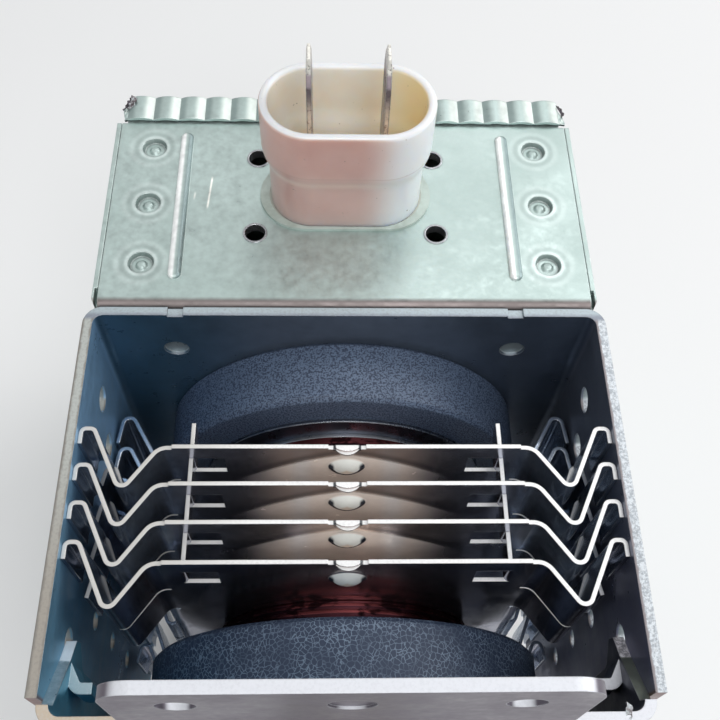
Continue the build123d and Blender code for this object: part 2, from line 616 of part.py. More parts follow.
with BuildPart() as filter_box:
    with BuildSketch(Plane.XY):
        with Locations((0, (YOKE_END + BOX_END) / 2)):
            Rectangle(2 * BOX_HALF_WIDTH, BOX_DEPTH)
    extrude(amount=HALF_HEIGHT, both=True)
    near = filter_box.edges().filter_by(lambda e: e.center().Y < YOKE_END + 1)
    fillet(near, BOX_BEND)
    with BuildSketch(Plane.XY):
        with Locations((0, (YOKE_END + BOX_SHEET + BOX_END + 5) / 2)):
            Rectangle(2 * (BOX_HALF_WIDTH - BOX_SHEET), BOX_DEPTH + 5 - BOX_SHEET)
    extrude(amount=HALF_HEIGHT - BOX_SHEET, both=True, mode=Mode.SUBTRACT)
    disc(YOKE_END - 1, YOKE_END + 1, STEM_OPENING, mode=Mode.SUBTRACT)
    for x in (-CLINCH_X, CLINCH_X):
        for z in (-CLINCH_Z, CLINCH_Z):
            stud(x, z, YOKE_END - 1, YOKE_END + 1, CLINCH_RADIUS, Mode.SUBTRACT)
    # Connector opening with four fixing holes, on the upper side
    oval(HALF_HEIGHT - BOX_SHEET - 1, HALF_HEIGHT + 1, CASE_X, CASE_Y, Mode.SUBTRACT)
    with BuildSketch(Plane.XY.offset(HALF_HEIGHT + 1)):
        with Locations(*FIXINGS):
            Circle(FIXING_RADIUS)
    extrude(amount=-3, mode=Mode.SUBTRACT)
    # Two raised ribs
    top_middle = (YOKE_END + BOX_END) / 2 - 1
    with BuildSketch(Plane.XY.offset(HALF_HEIGHT - 0.1)):
        with Locations((-RIB_X, top_middle), (RIB_X, top_middle)):
            SlotOverall(BOX_DEPTH - 2 * RIB_MARGIN - 2, RIB_WIDTH, rotation=90)
    extrude(amount=RIB_HEIGHT + 0.1)
    rib_edges = filter_box.faces().sort_by(Axis.Z)[-2:].edges()
    fillet(rib_edges, RIB_HEIGHT - 0.05)
    # Six pressed buttons, each a cup with a nub in its floor
    floor = BUTTON_DEPTH + BOX_SHEET - 0.3
    for x in (-BUTTON_X, BUTTON_X):
        for row in (-1, 0, 1):
            y = top_middle + row * BUTTON_PITCH
            drop(x, y, HALF_HEIGHT, [(0, -floor), (BUTTON_RADIUS + 0.2, -floor), (BUTTON_RADIUS + 0.5, -0.4), (0, -0.4)])
            drop(x, y, HALF_HEIGHT, [
                (0, 1), (BUTTON_RADIUS + 0.1, 1), (BUTTON_RADIUS + 0.1, -0.1), (BUTTON_RADIUS - 0.2, -BUTTON_DEPTH),
                (NUB_RADIUS, -BUTTON_DEPTH), (0.6 * NUB_RADIUS, NUB_HEIGHT * 0.75 - BUTTON_DEPTH),
                (0, NUB_HEIGHT - BUTTON_DEPTH)], Mode.SUBTRACT)
    # Seam between the upper side and each side wall, with an open slot beside the first bend
    for sign in (-1, 1):
        seam = sign * (BOX_HALF_WIDTH - BOX_SHEET)
        block(seam - SEAM / 2, seam + SEAM / 2, YOKE_END + 1, BOX_END + 1, HALF_HEIGHT - SEAM_DEPTH,
              HALF_HEIGHT + 1, Mode.SUBTRACT)
        block(seam - 0.1 * sign, seam + 0.5 * sign, YOKE_END + 0.4, YOKE_END + CORNER_SLOT, HALF_HEIGHT - 2,
              HALF_HEIGHT + 1, Mode.SUBTRACT)
    # Far corners cut back beside the lips of the lid
    for sign in (-1, 1):
        for up in (-1, 1):
            block(sign * LIP_HALF_WIDTH, sign * (BOX_HALF_WIDTH + 1), BOX_END - LID_LIP - 0.3, BOX_END + 1,
                  up * (HALF_HEIGHT - LID_CORNER), up * (HALF_HEIGHT + 1), Mode.SUBTRACT)


def crimped(z0, up):
    """Pillowed strip of lid sheet, from the box side at z0 outward."""
    half = LIP_HALF_WIDTH
    with BuildSketch(facing(BOX_END + LID_SHEET)) as outline:
        with BuildLine():
            for height in (z0, z0 + up * LID_SHEET):
                for crimp in range(CRIMPS):
                    x = crimp * CRIMP_PITCH - half
                    ThreePointArc(
                        (x, height), (x + CRIMP_PITCH / 2, height + up * CRIMP_RISE), (x + CRIMP_PITCH, height))
            Line((-half, z0), (-half, z0 + up * LID_SHEET))
            Line((half, z0), (half, z0 + up * LID_SHEET))
        make_face()
    extrude(outline.sketch, amount=LID_SHEET + LID_LIP)


with BuildPart() as filter_lid:
    corner_z = HALF_HEIGHT - LID_CORNER
    for up in (-1, 1):
        crimped(up * HALF_HEIGHT, up)
    for sign in (-1, 1):
        block(sign * BOX_HALF_WIDTH, sign * (BOX_HALF_WIDTH + LID_SHEET), BOX_END - LID_LIP, BOX_END + LID_SHEET,
              -corner_z, corner_z)
    block(-LIP_HALF_WIDTH, LIP_HALF_WIDTH, BOX_END, BOX_END + LID_SHEET, -HALF_HEIGHT - LID_SHEET / 2,
          HALF_HEIGHT + LID_SHEET / 2)
    block(-BOX_HALF_WIDTH - LID_SHEET / 2, BOX_HALF_WIDTH + LID_SHEET / 2, BOX_END, BOX_END + LID_SHEET,
          -corner_z, corner_z)

with BuildPart() as ground_plate:
    with BuildSketch(Plane.XY.offset(HALF_HEIGHT - 2 * BOX_SHEET)):
        with Locations((0, CONNECTOR_Y)):
            RectangleRounded(2 * FIXING_X + 7.8, 2 * FIXING_Y + 7.3, 2)
    extrude(amount=BOX_SHEET)
    # Necks that pass through the upper side of the box
    with BuildSketch(Plane.XY.offset(HALF_HEIGHT - BOX_SHEET)):
        with Locations(*FIXINGS):
            Circle(FIXING_RADIUS)
    extrude(amount=BOX_SHEET + 0.1)
    with BuildSketch(Plane.XY.offset(HALF_HEIGHT + 1)):
        with Locations(*FIXINGS):
            Circle(FIXING_RADIUS - FIXING_WALL)
    extrude(amount=-4, mode=Mode.SUBTRACT)
    oval(HALF_HEIGHT - 3, HALF_HEIGHT, CASE_X, CASE_Y, Mode.SUBTRACT)


def blade_slots(z0, z1):
    """Slots for the two blades, from z0 to z1."""
    for x in (-BLADE_X, BLADE_X):
        block(x - BLADE_SHEET / 2, x + BLADE_SHEET / 2, CONNECTOR_Y - BLADE_STEM, CONNECTOR_Y + BLADE_STEM, z0, z1,
              Mode.SUBTRACT)


with BuildPart() as capacitor_case:
    oval(CASE_FLOOR, HALF_HEIGHT - 2 * BOX_SHEET, CASE_X + CASE_WALL, CASE_Y + CASE_WALL)
    oval(CASE_FLOOR + CASE_WALL, HALF_HEIGHT, CASE_X, CASE_Y, Mode.SUBTRACT)
    blade_slots(CASE_FLOOR - 1, CASE_FLOOR + 2)

with BuildPart() as capacitor_block:
    block_top = CASE_FLOOR + CASE_WALL + CAPACITOR_HEIGHT
    oval(CASE_FLOOR + CASE_WALL, block_top, CAPACITOR_X, CAPACITOR_Y)
    blade_slots(CASE_FLOOR, block_top + 1)

with BuildPart() as potting_resin:
    oval(block_top, SHELL_FOOT, CASE_X, CASE_Y)
    oval(SHELL_FOOT, SHELL_FOOT + RESIN_DEPTH, CUP_CENTRE + CUP_FOOT - CUP_WALL, CUP_FOOT - CUP_WALL)
    blade_slots(block_top - 1, SHELL_FOOT + RESIN_DEPTH + 1)

with BuildPart() as base_gasket:
    oval(HALF_HEIGHT, SHELL_FOOT, CASE_X + BASE_GASKET_LIP, CASE_Y + BASE_GASKET_EDGE)
    oval(HALF_HEIGHT - 1, SHELL_FOOT + 1, CASE_X, CASE_Y, Mode.SUBTRACT)

# Glazed cup of the connector: one wall profile carried round an oval, with a soft flare to the rim
with BuildPart() as connector_shell:
    flare_z, flare_top = SHELL_FOOT + CUP_BODY, SHELL_FOOT + CUP_BODY + CUP_FLARE
    flare_middle, middle_radius = (flare_z + flare_top) / 2, (CUP_FOOT + CUP_RIM) / 2
    with BuildSketch(Plane((CUP_CENTRE, CONNECTOR_Y, 0), x_dir=(0, -1, 0), z_dir=(-1, 0, 0))) as wall:
        with BuildLine():
            Line((CUP_FOOT, SHELL_FOOT), (CUP_FOOT, flare_z))
            TangentArc((CUP_FOOT, flare_z), (middle_radius, flare_middle), tangent=(0, 1))
            TangentArc((CUP_RIM, flare_top), (middle_radius, flare_middle), tangent=(0, -1))
            Line((CUP_RIM, flare_top), (CUP_RIM, RIM_TOP - CUP_RIM_ROUND))
            ThreePointArc(
                (CUP_RIM, RIM_TOP - CUP_RIM_ROUND), (CUP_RIM - CUP_WALL / 2, RIM_TOP),
                (CUP_RIM - CUP_WALL, RIM_TOP - CUP_RIM_ROUND))
            Line((CUP_RIM - CUP_WALL, RIM_TOP - CUP_RIM_ROUND), (CUP_RIM - CUP_WALL, flare_top))
            TangentArc((CUP_RIM - CUP_WALL, flare_top), (middle_radius - CUP_WALL, flare_middle), tangent=(0, -1))
            TangentArc((CUP_FOOT - CUP_WALL, flare_z), (middle_radius - CUP_WALL, flare_middle), tangent=(0, 1))
            Line((CUP_FOOT - CUP_WALL, flare_z), (CUP_FOOT - CUP_WALL, SHELL_FOOT))
            Line((CUP_FOOT - CUP_WALL, SHELL_FOOT), (CUP_FOOT, SHELL_FOOT))
        make_face()
    revolve(wall.sketch, axis=Axis((CUP_CENTRE, CONNECTOR_Y, 0), (0, 0, 1)), revolution_arc=180)
    extrude(amount=2 * CUP_CENTRE)
    mirror(about=Plane.YZ)
    mirror(about=Plane((0, CONNECTOR_Y, 0), z_dir=(0, 1, 0)))

blades = {}
for side, x in (("left", -BLADE_X), ("right", BLADE_X)):
    shoulder, taper = SHELL_FOOT + RESIN_DEPTH, BLADE_TOP - BLADE_TAPER
    with BuildPart() as blade:
        with BuildSketch(Plane.YZ.offset(x - BLADE_SHEET / 2)):
            with BuildLine():
                Polyline(*[(CONNECTOR_Y + y, z) for y, z in [
                    (-BLADE_STEM, BLADE_FOOT), (BLADE_STEM, BLADE_FOOT), (BLADE_STEM, shoulder),
                    (BLADE_HALF_WIDTH, shoulder), (BLADE_HALF_WIDTH, taper), (BLADE_TIP, BLADE_TOP),
                    (-BLADE_TIP, BLADE_TOP), (-BLADE_HALF_WIDTH, taper), (-BLADE_HALF_WIDTH, shoulder),
                    (-BLADE_STEM, shoulder)]], close=True)
            make_face()
        extrude(amount=BLADE_SHEET)
        # Thinned tip and latch hole
        with BuildSketch(Plane((x, CONNECTOR_Y, 0), x_dir=(1, 0, 0), z_dir=(0, -1, 0))):
            with BuildLine():
                Polyline(
                    (-BLADE_SHEET / 2, BLADE_FOOT), (BLADE_SHEET / 2, BLADE_FOOT), (BLADE_SHEET / 2, BLADE_TOP - 1.6),
                    (BLADE_SHEET / 4, BLADE_TOP), (-BLADE_SHEET / 4, BLADE_TOP), (-BLADE_SHEET / 2, BLADE_TOP - 1.6),
                    close=True)
            make_face()
        extrude(amount=BLADE_HALF_WIDTH + 1, both=True, mode=Mode.INTERSECT)
        with BuildSketch(Plane.YZ):
            with Locations((CONNECTOR_Y, taper - 0.9)):
                Circle(BLADE_HOLE)
        extrude(amount=BLADE_X + 2, both=True, mode=Mode.SUBTRACT)
    blades[f"terminal_blade_{side}"] = blade


def folded(points, radii, y, z0, z1, sign):
    """Folded strip of fin sheet along a centre line, between two heights on one end of a fin."""
    with BuildSketch(Plane.XY.offset(min(z0, z1))) as outline:
        with BuildLine() as path:
            FilletPolyline(*[(sign * x, y + dy) for x, dy in points], radius=radii)
        trace(path.line, line_width=FIN_SHEET)
    extrude(outline.sketch, amount=abs(z1 - z0))


def dimple(y, z, radius, depth, top=None):
    """Round dimple of fin sheet pressed towards the antenna end; the sheet above top is left out."""
    near, far = y - FIN_SHEET / 2, y + FIN_SHEET / 2
    for start, base, mode in ((near, y, Mode.ADD), (far, far, Mode.SUBTRACT)):
        reach = (radius ** 2 + depth ** 2) / (2 * depth)
        side = sin(0.5 * asin(radius / reach)) * reach
        bulge = start - depth + reach - cos(0.5 * asin(radius / reach)) * reach
        with BuildSketch(Plane((0, 0, z))) as outline:
            with BuildLine():
                ThreePointArc((radius, start), (side, bulge), (0, start - depth))
                if base > start:
                    Line((radius, start), (radius, base))
                Line((radius, base), (0, base))
                Line((0, base), (0, start - depth))
            make_face()
        revolve(outline.sketch, axis=Axis((0, 0, z), (0, 1, 0)), mode=mode)
    if top:
        block(-radius - 1, radius + 1, y - depth - 1, y + 1, top, top + (2 * radius if top > 0 else -2 * radius),
              Mode.SUBTRACT)


# Centre lines of the zig-zag ends, from the flat of a fin outward, with the radius of each bend
START = [(FIN_BEND - 3, 0), (FIN_BEND, 0)]
UPPER_HOOK = [*START, (HOOK_X - 6.45, -6.8), (HOOK_X - 1.8, 3.05), (HOOK_X, 3.05), (HOOK_X, 0.7)]
SECOND_HOOK = [*START, (HOOK_X - 6.35, -6.8), (HOOK_X - 1.95, 4.0), (HOOK_X - 0.95, -1.4)]
MIDDLE_HOOK = [*START, (HOOK_X - 1.15, 17.6), (HOOK_X - 0.25, 10.7)]
UPPER_BENDS, SECOND_BENDS, MIDDLE_BENDS = [2.4, 1.1, 0.9, 0.7], [2.4, 1.1, 0.9], [2.4, 1.1]

fins = {}
for number in range(4):
    y = FIN_FIRST - number * FIN_PITCH
    near, far = y - FIN_SHEET / 2, y + FIN_SHEET / 2
    with BuildPart() as fin:
        block(-FIN_FLAT, FIN_FLAT, near, far, -FIN_TOP, FIN_TOP)
        step = FIN_TOP - FIN_STEP
        block(-FIN_BEND + 1.7, FIN_BEND - 1.7, near, far, -step, step)
        gap = HOOK_SLIT / 2
        for sign in (-1, 1):
            for up in (-1, 1):
                folded(UPPER_HOOK, UPPER_BENDS, y, up * (UPPER_SPLIT + gap), up * step, sign)
                folded(SECOND_HOOK, SECOND_BENDS, y, up * (LOWER_SPLIT + gap), up * (UPPER_SPLIT - gap), sign)
            folded(MIDDLE_HOOK, MIDDLE_BENDS, y, gap - LOWER_SPLIT, LOWER_SPLIT - gap, sign)
        # Collar drawn towards the filter box, pressed on the anode
        disc(far, y + FIN_COLLAR, ANODE_RADIUS + FIN_SHEET)
        disc(y - 1, y + FIN_COLLAR + 1, ANODE_RADIUS, mode=Mode.SUBTRACT)
        rim = fin.edges().filter_by(GeomType.CIRCLE)
        rim = rim.filter_by(lambda e: abs(e.center().Y - near) < 0.01 and e.radius < ANODE_RADIUS + 0.1)
        chamfer(rim, 0.45)
        for up in (-1, 1):
            low, high = up * WINDOW_Z, up * (WINDOW_Z + WINDOW_HEIGHT)
            for sign in (-1, 1):
                # Spacer lanced out to the next fin, and the window it leaves
                block(sign * (SPACER_X - WINDOW_WIDTH), sign * (SPACER_X + SPACER_ROUND), near - 1, far + 1, low, high,
                      Mode.SUBTRACT)
                folded([(SPACER_X + 1.3, 0), (SPACER_X, 0), (SPACER_X, FIN_SHEET / 2 + LANCE)], [SPACER_ROUND], y,
                       low, high, sign)
                with BuildSketch(Plane.YZ.offset(sign * (SPACER_X - 1))):
                    with BuildLine():
                        Polyline(
                            (far + 0.8, low - up), (far + 0.8, low), (far + LANCE, low + up * 2.2),
                            (far + LANCE + 1, low + up * 2.2), (far + LANCE + 1, low - up), close=True)
                    make_face()
                extrude(amount=sign * 2, mode=Mode.SUBTRACT)
            dimple(y, up * DIMPLE_Z, DIMPLE_RADIUS, DIMPLE_DEPTH)
            dimple(y, up * (FIN_TOP - BEAD_DROP), BEAD_RADIUS, BEAD_DEPTH, up * (FIN_TOP - BEAD_DROP))
    fins[f"cooling_fin_{number + 1}"] = fin

nodes = {
    "yoke_frame": yoke_frame, "mounting_plate": mounting_plate, **fins,
    "antenna_magnet": antenna_magnet, "cathode_magnet": cathode_magnet,
    "antenna_shim": antenna_shim, "cathode_shim": cathode_shim,
    "antenna_seal_cup": antenna_seal_cup, "cathode_seal_cup": cathode_seal_cup,
    "anode_block": anode_block, **straps, "antenna_pole": antenna_pole, "cathode_pole": cathode_pole,
    "antenna_end_hat": antenna_end_hat, "cathode_end_hat": cathode_end_hat, "filament": filament,
    "centre_lead": centre_lead, "side_lead": side_lead, "stem_ceramic": stem_ceramic, **stem_terminals,
    **ferrite_cores, **choke_coils, "output_ceramic": output_ceramic, "exhaust_tube": exhaust_tube,
    "antenna_lead": antenna_lead, "antenna_cap": antenna_cap, "gasket_holder": gasket_holder,
    "rf_gasket": rf_gasket, "filter_box": filter_box, "filter_lid": filter_lid, "ground_plate": ground_plate,
    "capacitor_case": capacitor_case, "capacitor_block": capacitor_block, "potting_resin": potting_resin,
    "base_gasket": base_gasket, "connector_shell": connector_shell, **blades,
}

os.makedirs("parts", exist_ok=True)
for name, node in nodes.items():
    node.part.label = name
    export_step(node.part, f"parts/{name}.step")
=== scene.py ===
import json

import bmesh
import bpy
from mathutils import Matrix, Vector, noise as stray_noise


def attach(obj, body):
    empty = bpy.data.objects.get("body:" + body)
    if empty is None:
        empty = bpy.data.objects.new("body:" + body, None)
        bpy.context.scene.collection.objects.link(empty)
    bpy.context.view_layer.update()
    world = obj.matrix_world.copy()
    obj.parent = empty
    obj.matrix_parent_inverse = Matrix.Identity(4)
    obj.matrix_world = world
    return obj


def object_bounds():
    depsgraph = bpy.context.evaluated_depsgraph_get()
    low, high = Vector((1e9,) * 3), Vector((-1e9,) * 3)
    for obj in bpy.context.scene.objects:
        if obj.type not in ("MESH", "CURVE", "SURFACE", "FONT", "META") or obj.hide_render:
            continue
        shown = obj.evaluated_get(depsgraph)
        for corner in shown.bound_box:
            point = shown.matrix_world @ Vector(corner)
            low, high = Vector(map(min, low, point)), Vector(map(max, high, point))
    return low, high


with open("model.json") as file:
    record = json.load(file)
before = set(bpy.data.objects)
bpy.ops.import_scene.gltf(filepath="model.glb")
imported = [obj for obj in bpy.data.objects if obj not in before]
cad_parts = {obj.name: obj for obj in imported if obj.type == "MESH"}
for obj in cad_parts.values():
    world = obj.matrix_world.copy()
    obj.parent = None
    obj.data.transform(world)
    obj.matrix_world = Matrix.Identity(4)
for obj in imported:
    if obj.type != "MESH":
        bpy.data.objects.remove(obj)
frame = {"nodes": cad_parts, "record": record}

MM = 0.001
cad_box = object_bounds()

# Camera as fitted to the photograph: place in millimetres, turns in radians
CAMERA_PLACE = (-2.689, -18.70, 161.77)
CAMERA_TURNS = ((0.0032353, "Z"), (0.5187972, "X"), (-0.0344736, "Y"))
SENSOR_WIDTH = 36
LENS = 47.54

# Sizes of the part that materials and added pieces follow, in millimetres
YOKE_WALL_INSIDE = 38.7
YOKE_BACK_INSIDE = 59.2
EAR_START = 38.0
HOOK_TIP = 9.9
FIN_FIRST = 37.97
FIN_STEP = 5.643
FIN_COUNT = 4
FIN_TOP = 37.66
DOME_HEIGHT = 31.24
DOME_RADIUS = 2.8
BOW_TOP = 36.6
BUTTON_ROW = 81.2
BUTTON_STEP = 11.9
BUTTON_ASIDE = 32.3
RIB_ASIDE = 26.9
LID_LIP = 99.3
CUP_END_ASIDE = 5.35
CUP_MIDDLE = 83.05
CUP_RIM = 60.2
BLADE_ASIDE = 5.6

# Coined bead in the top edge of a fin, in millimetres
BEAD_HALF_WIDTH = 1.85
BEAD_HALF_DEPTH = 0.85
BEAD_BEHIND_FIN_MIDDLE = 0.12
BEAD_HEIGHT = 0.55
BEAD_ROUNDING = 0.12
FIN_HALF_SHEET = 0.25

# Seed of the noise that tears the flakes; 0 would take the clock's, and each run would tear them anew
FLAKE_SEED = 1


def place_camera():
    """Camera above the antenna end, looking down into the open yoke."""
    data = bpy.data.cameras.new("camera")
    data.sensor_width, data.lens = SENSOR_WIDTH, LENS
    data.clip_start, data.clip_end = 0.01, 20
    camera = bpy.data.objects.new("camera", data)
    turn = Matrix.Identity(3)
    for angle, axis in CAMERA_TURNS:
        turn = turn @ Matrix.Rotation(angle, 3, axis)
    camera.matrix_world = Matrix.Translation(Vector(CAMERA_PLACE) * MM) @ turn.to_4x4()
    bpy.context.scene.collection.objects.link(camera)
    bpy.context.scene.camera = camera


def soft_lamp(name, place, aim, size, power):
    """Round white lamp, turned towards the point that it aims at."""
    data = bpy.data.lights.new(name, "AREA")
    data.shape, data.size, data.energy = "DISK", size, power
    lamp = bpy.data.objects.new(name, data)
    lamp.location = place
    lamp.rotation_mode = "QUATERNION"
    lamp.rotation_quaternion = (Vector(aim) - Vector(place)).to_track_quat("-Z", "Y")
    bpy.context.scene.collection.objects.link(lamp)


def put(tree, kind, settings=None, **inputs):
    """Adds one node; an input is a value or another node's socket, and _3 means the socket at index 3."""
    made = tree.nodes.new(kind)
    for name, value in (settings or {}).items():
        setattr(made, name, value)
    for name, value in inputs.items():
        key = int(name[1:]) if name[0] == "_" else name.replace("_", " ")
        socket = made.inputs[key]
        if isinstance(value, bpy.types.NodeSocket):
            tree.links.new(value, socket)
        else:
            socket.default_value = value
    return made


def calc(tree, operation, a, b=0.0, clamp=False):
    return put(tree, "ShaderNodeMath", {"operation": operation, "use_clamp": clamp}, _0=a, _1=b).outputs[0]


def plus(tree, a, b):
    return calc(tree, "ADD", a, b)


def minus(tree, a, b):
    return calc(tree, "SUBTRACT", a, b)


def times(tree, a, b, clamp=False):
    return calc(tree, "MULTIPLY", a, b, clamp)


def size_of(tree, value):
    return calc(tree, "ABSOLUTE", value)


def diagonal(tree, a, b):
    """Long side of a right angle whose two short sides are a and b."""
    return calc(tree, "SQRT", plus(tree, times(tree, a, a), times(tree, b, b)))


def blend(tree, factor, a, b, mode="MIX"):
    """Colour that goes from a to b, or to both multiplied, as the factor goes from 0 to 1."""
    made = put(tree, "ShaderNodeMix", {"data_type": "RGBA", "blend_type": mode}, _0=factor, _6=a, _7=b)
    return made.outputs[2]


def ramp(tree, value, low, high, out_low=0.0, out_high=1.0):
    """Fades smoothly from out_low to out_high while a value goes from low to high."""
    made = put(tree, "ShaderNodeMapRange", {"interpolation_type": "SMOOTHSTEP"},
               Value=value, From_Min=low, From_Max=high, To_Min=out_low, To_Max=out_high)
    return made.outputs[0]


def span(tree, length, low, high, out_low=0.0, out_high=1.0):
    """The same fade over a length, with its limits in millimetres."""
    return ramp(tree, length, low * MM, high * MM, out_low, out_high)


def between(tree, length, low, high, soft):
    """1 where a length lies between two limits, fading over a soft width, all in millimetres."""
    return times(tree, span(tree, length, low - soft, low + soft),
                 span(tree, length, high - soft, high + soft, 1.0, 0.0))


def ring(tree, length, radius, width, amount):
    """Soft ring: amount where a length is the radius, nothing a width away, in millimetres."""
    return span(tree, size_of(tree, minus(tree, length, radius * MM)), 0.0, width, amount, 0.0)


def tone(text):
    """Colour from a written web colour, as a linear value."""
    parts = [int(text[i:i + 2], 16) / 255 for i in (1, 3, 5)]
    return tuple(p / 12.92 if p <= 0.04045 else ((p + 0.055) / 1.055) ** 2.4 for p in parts) + (1.0,)


def object_coords(tree):
    return put(tree, "ShaderNodeTexCoord").outputs["Object"]


class Place:
    """Where the surface is: Object coordinates in metres, and the distance from the middle plane."""

    def __init__(self, tree):
        split = put(tree, "ShaderNodeSeparateXYZ", Vector=object_coords(tree)).outputs
        self.x, self.y, self.z = split["X"], split["Y"], split["Z"]
        self.across = size_of(tree, self.x)


def facing(tree, axis):
    """How far the surface faces along one axis, from -1 to 1."""
    normal = put(tree, "ShaderNodeNewGeometry").outputs["Normal"]
    return put(tree, "ShaderNodeSeparateXYZ", Vector=normal).outputs[axis]


def noise(tree, vector, scale, detail=3.0, rough=0.55, distort=0.0):
    return put(tree, "ShaderNodeTexNoise", Vector=vector, Scale=scale, Detail=detail, Roughness=rough,
               Distortion=distort).outputs["Fac"]


def waver(tree, scale, detail, width):
    """Noise about zero, as a length: its whole width is in millimetres."""
    return times(tree, minus(tree, noise(tree, object_coords(tree), scale, detail), 0.5), width * MM)


def new_group(name, inputs, outputs):
    """New node group: gives its tree, the sockets of what it is given and the sockets of its result."""
    tree = bpy.data.node_groups.new(name, "ShaderNodeTree")
    for side, sockets in (("INPUT", inputs), ("OUTPUT", outputs)):
        for label, kind, *default in sockets:
            socket = tree.interface.new_socket(label, in_out=side, socket_type="NodeSocket" + kind)
            if default:
                socket.default_value = default[0]
    given, result = tree.nodes.new("NodeGroupInput"), tree.nodes.new("NodeGroupOutput")
    return tree, given.outputs, result.inputs


def use(tree, group, **inputs):
    return put(tree, "ShaderNodeGroup", {"node_tree": group}, **inputs)


def make_sheet_grain():
    """Rolled and plated sheet: cloudy patches, fine grain and faint rolling lines."""
    tree, given, result = new_group("sheet_grain", [
        ("Color", "Color", (0.6, 0.6, 0.6, 1)), ("Cloud Color", "Color", (0.5, 0.5, 0.5, 1)),
        ("Roughness", "Float", 0.35), ("Cloud", "Float", 0.5), ("Grain", "Float", 0.2),
        ("Stretch", "Vector", (1, 1, 1))],
        [("Color", "Color"), ("Roughness", "Float"), ("Height", "Float")])
    place = object_coords(tree)
    drawn = put(tree, "ShaderNodeVectorMath", {"operation": "MULTIPLY"}, _0=place, _1=given["Stretch"])
    cloud = ramp(tree, noise(tree, place, 55, detail=4, rough=0.6, distort=0.4), 0.36, 0.66)
    fine = noise(tree, place, 900, detail=2)
    lines = noise(tree, drawn.outputs[0], 260, rough=0.65)
    clouded = times(tree, cloud, given["Cloud"])
    colour = blend(tree, clouded, given["Color"], given["Cloud Color"])
    speck = times(tree, minus(tree, fine, 0.5), given["Grain"])
    shade = plus(tree, times(tree, minus(tree, lines, 0.5), 0.35), speck)
    lit = put(tree, "ShaderNodeVectorMath", {"operation": "SCALE"}, _0=colour, _3=plus(tree, 1.0, shade))
    tree.links.new(lit.outputs[0], result["Color"])
    uneven = plus(tree, times(tree, minus(tree, clouded, 0.25), 0.15), shade)
    rough = calc(tree, "MAXIMUM", plus(tree, given["Roughness"], uneven), 0.05)
    tree.links.new(rough, result["Roughness"])
    tree.links.new(plus(tree, times(tree, lines, 0.4), times(tree, fine, 0.6)), result["Height"])
    return tree


def make_worn_and_glint_edge():
    """Edges painted bright, as rubbed wear and, on the shim, as a painted glint: a mask where the rounded surface
    turns away from the flat one.
    """
    tree, given, result = new_group("worn_and_glint_edge", [
        ("Color", "Color", (0.5, 0.5, 0.5, 1)), ("Edge Color", "Color", (0.9, 0.9, 0.9, 1)),
        ("Width", "Float", 0.3 * MM), ("Amount", "Float", 1.0)],
        [("Color", "Color"), ("Mask", "Float"), ("Normal", "Vector")])
    rounded = put(tree, "ShaderNodeBevel", {"samples": 4}, Radius=given["Width"]).outputs[0]
    flat = put(tree, "ShaderNodeNewGeometry").outputs["Normal"]
    turn = put(tree, "ShaderNodeVectorMath", {"operation": "DOT_PRODUCT"}, _0=rounded, _1=flat)
    edge = ramp(tree, turn.outputs["Value"], 0.995, 0.8)
    patchy = ramp(tree, noise(tree, object_coords(tree), 420), 0.34, 0.6, 0.35, 1.0)
    mask = times(tree, times(tree, edge, patchy), given["Amount"], clamp=True)
    tree.links.new(blend(tree, mask, given["Color"], given["Edge Color"]), result["Color"])
    tree.links.new(mask, result["Mask"])
    tree.links.new(rounded, result["Normal"])
    return tree


def make_cut_edge():
    """Sheared edges of sheet whose outline faces up or down: rough pale metal with fine streaks."""
    tree, given, result = new_group("cut_edge", [
        ("Color", "Color", (0.5, 0.5, 0.5, 1)), ("Cut Color", "Color", (0.9, 0.9, 0.9, 1)),
        ("Streak Color", "Color", (0.6, 0.6, 0.6, 1)), ("Amount", "Float", 1.0)],
        [("Color", "Color"), ("Mask", "Float")])
    cut = times(tree, ramp(tree, size_of(tree, facing(tree, "Z")), 0.75, 0.95), given["Amount"])
    streak = ramp(tree, noise(tree, object_coords(tree), 2600, rough=0.7), 0.42, 0.72)
    pale = blend(tree, streak, given["Cut Color"], given["Streak Color"])
    tree.links.new(blend(tree, cut, given["Color"], pale), result["Color"])
    tree.links.new(cut, result["Mask"])
    return tree


def make_matt_cloud():
    """Matt surface clouded softly between two colours."""
    tree, given, result = new_group("matt_cloud", [
        ("Color", "Color", (0.5, 0.5, 0.5, 1)), ("Other Color", "Color", (0.4, 0.4, 0.4, 1)),
        ("Scale", "Float", 300.0), ("Roughness", "Float", 0.5)],
        [("Color", "Color"), ("Roughness", "Float"), ("Height", "Float")])
    cloud = ramp(tree, noise(tree, object_coords(tree), given["Scale"], detail=4, rough=0.6), 0.32, 0.68)
    tree.links.new(blend(tree, cloud, given["Color"], given["Other Color"]), result["Color"])
    tree.links.new(plus(tree, given["Roughness"], ramp(tree, cloud, 0, 1, -0.08, 0.08)), result["Roughness"])
    tree.links.new(cloud, result["Height"])
    return tree


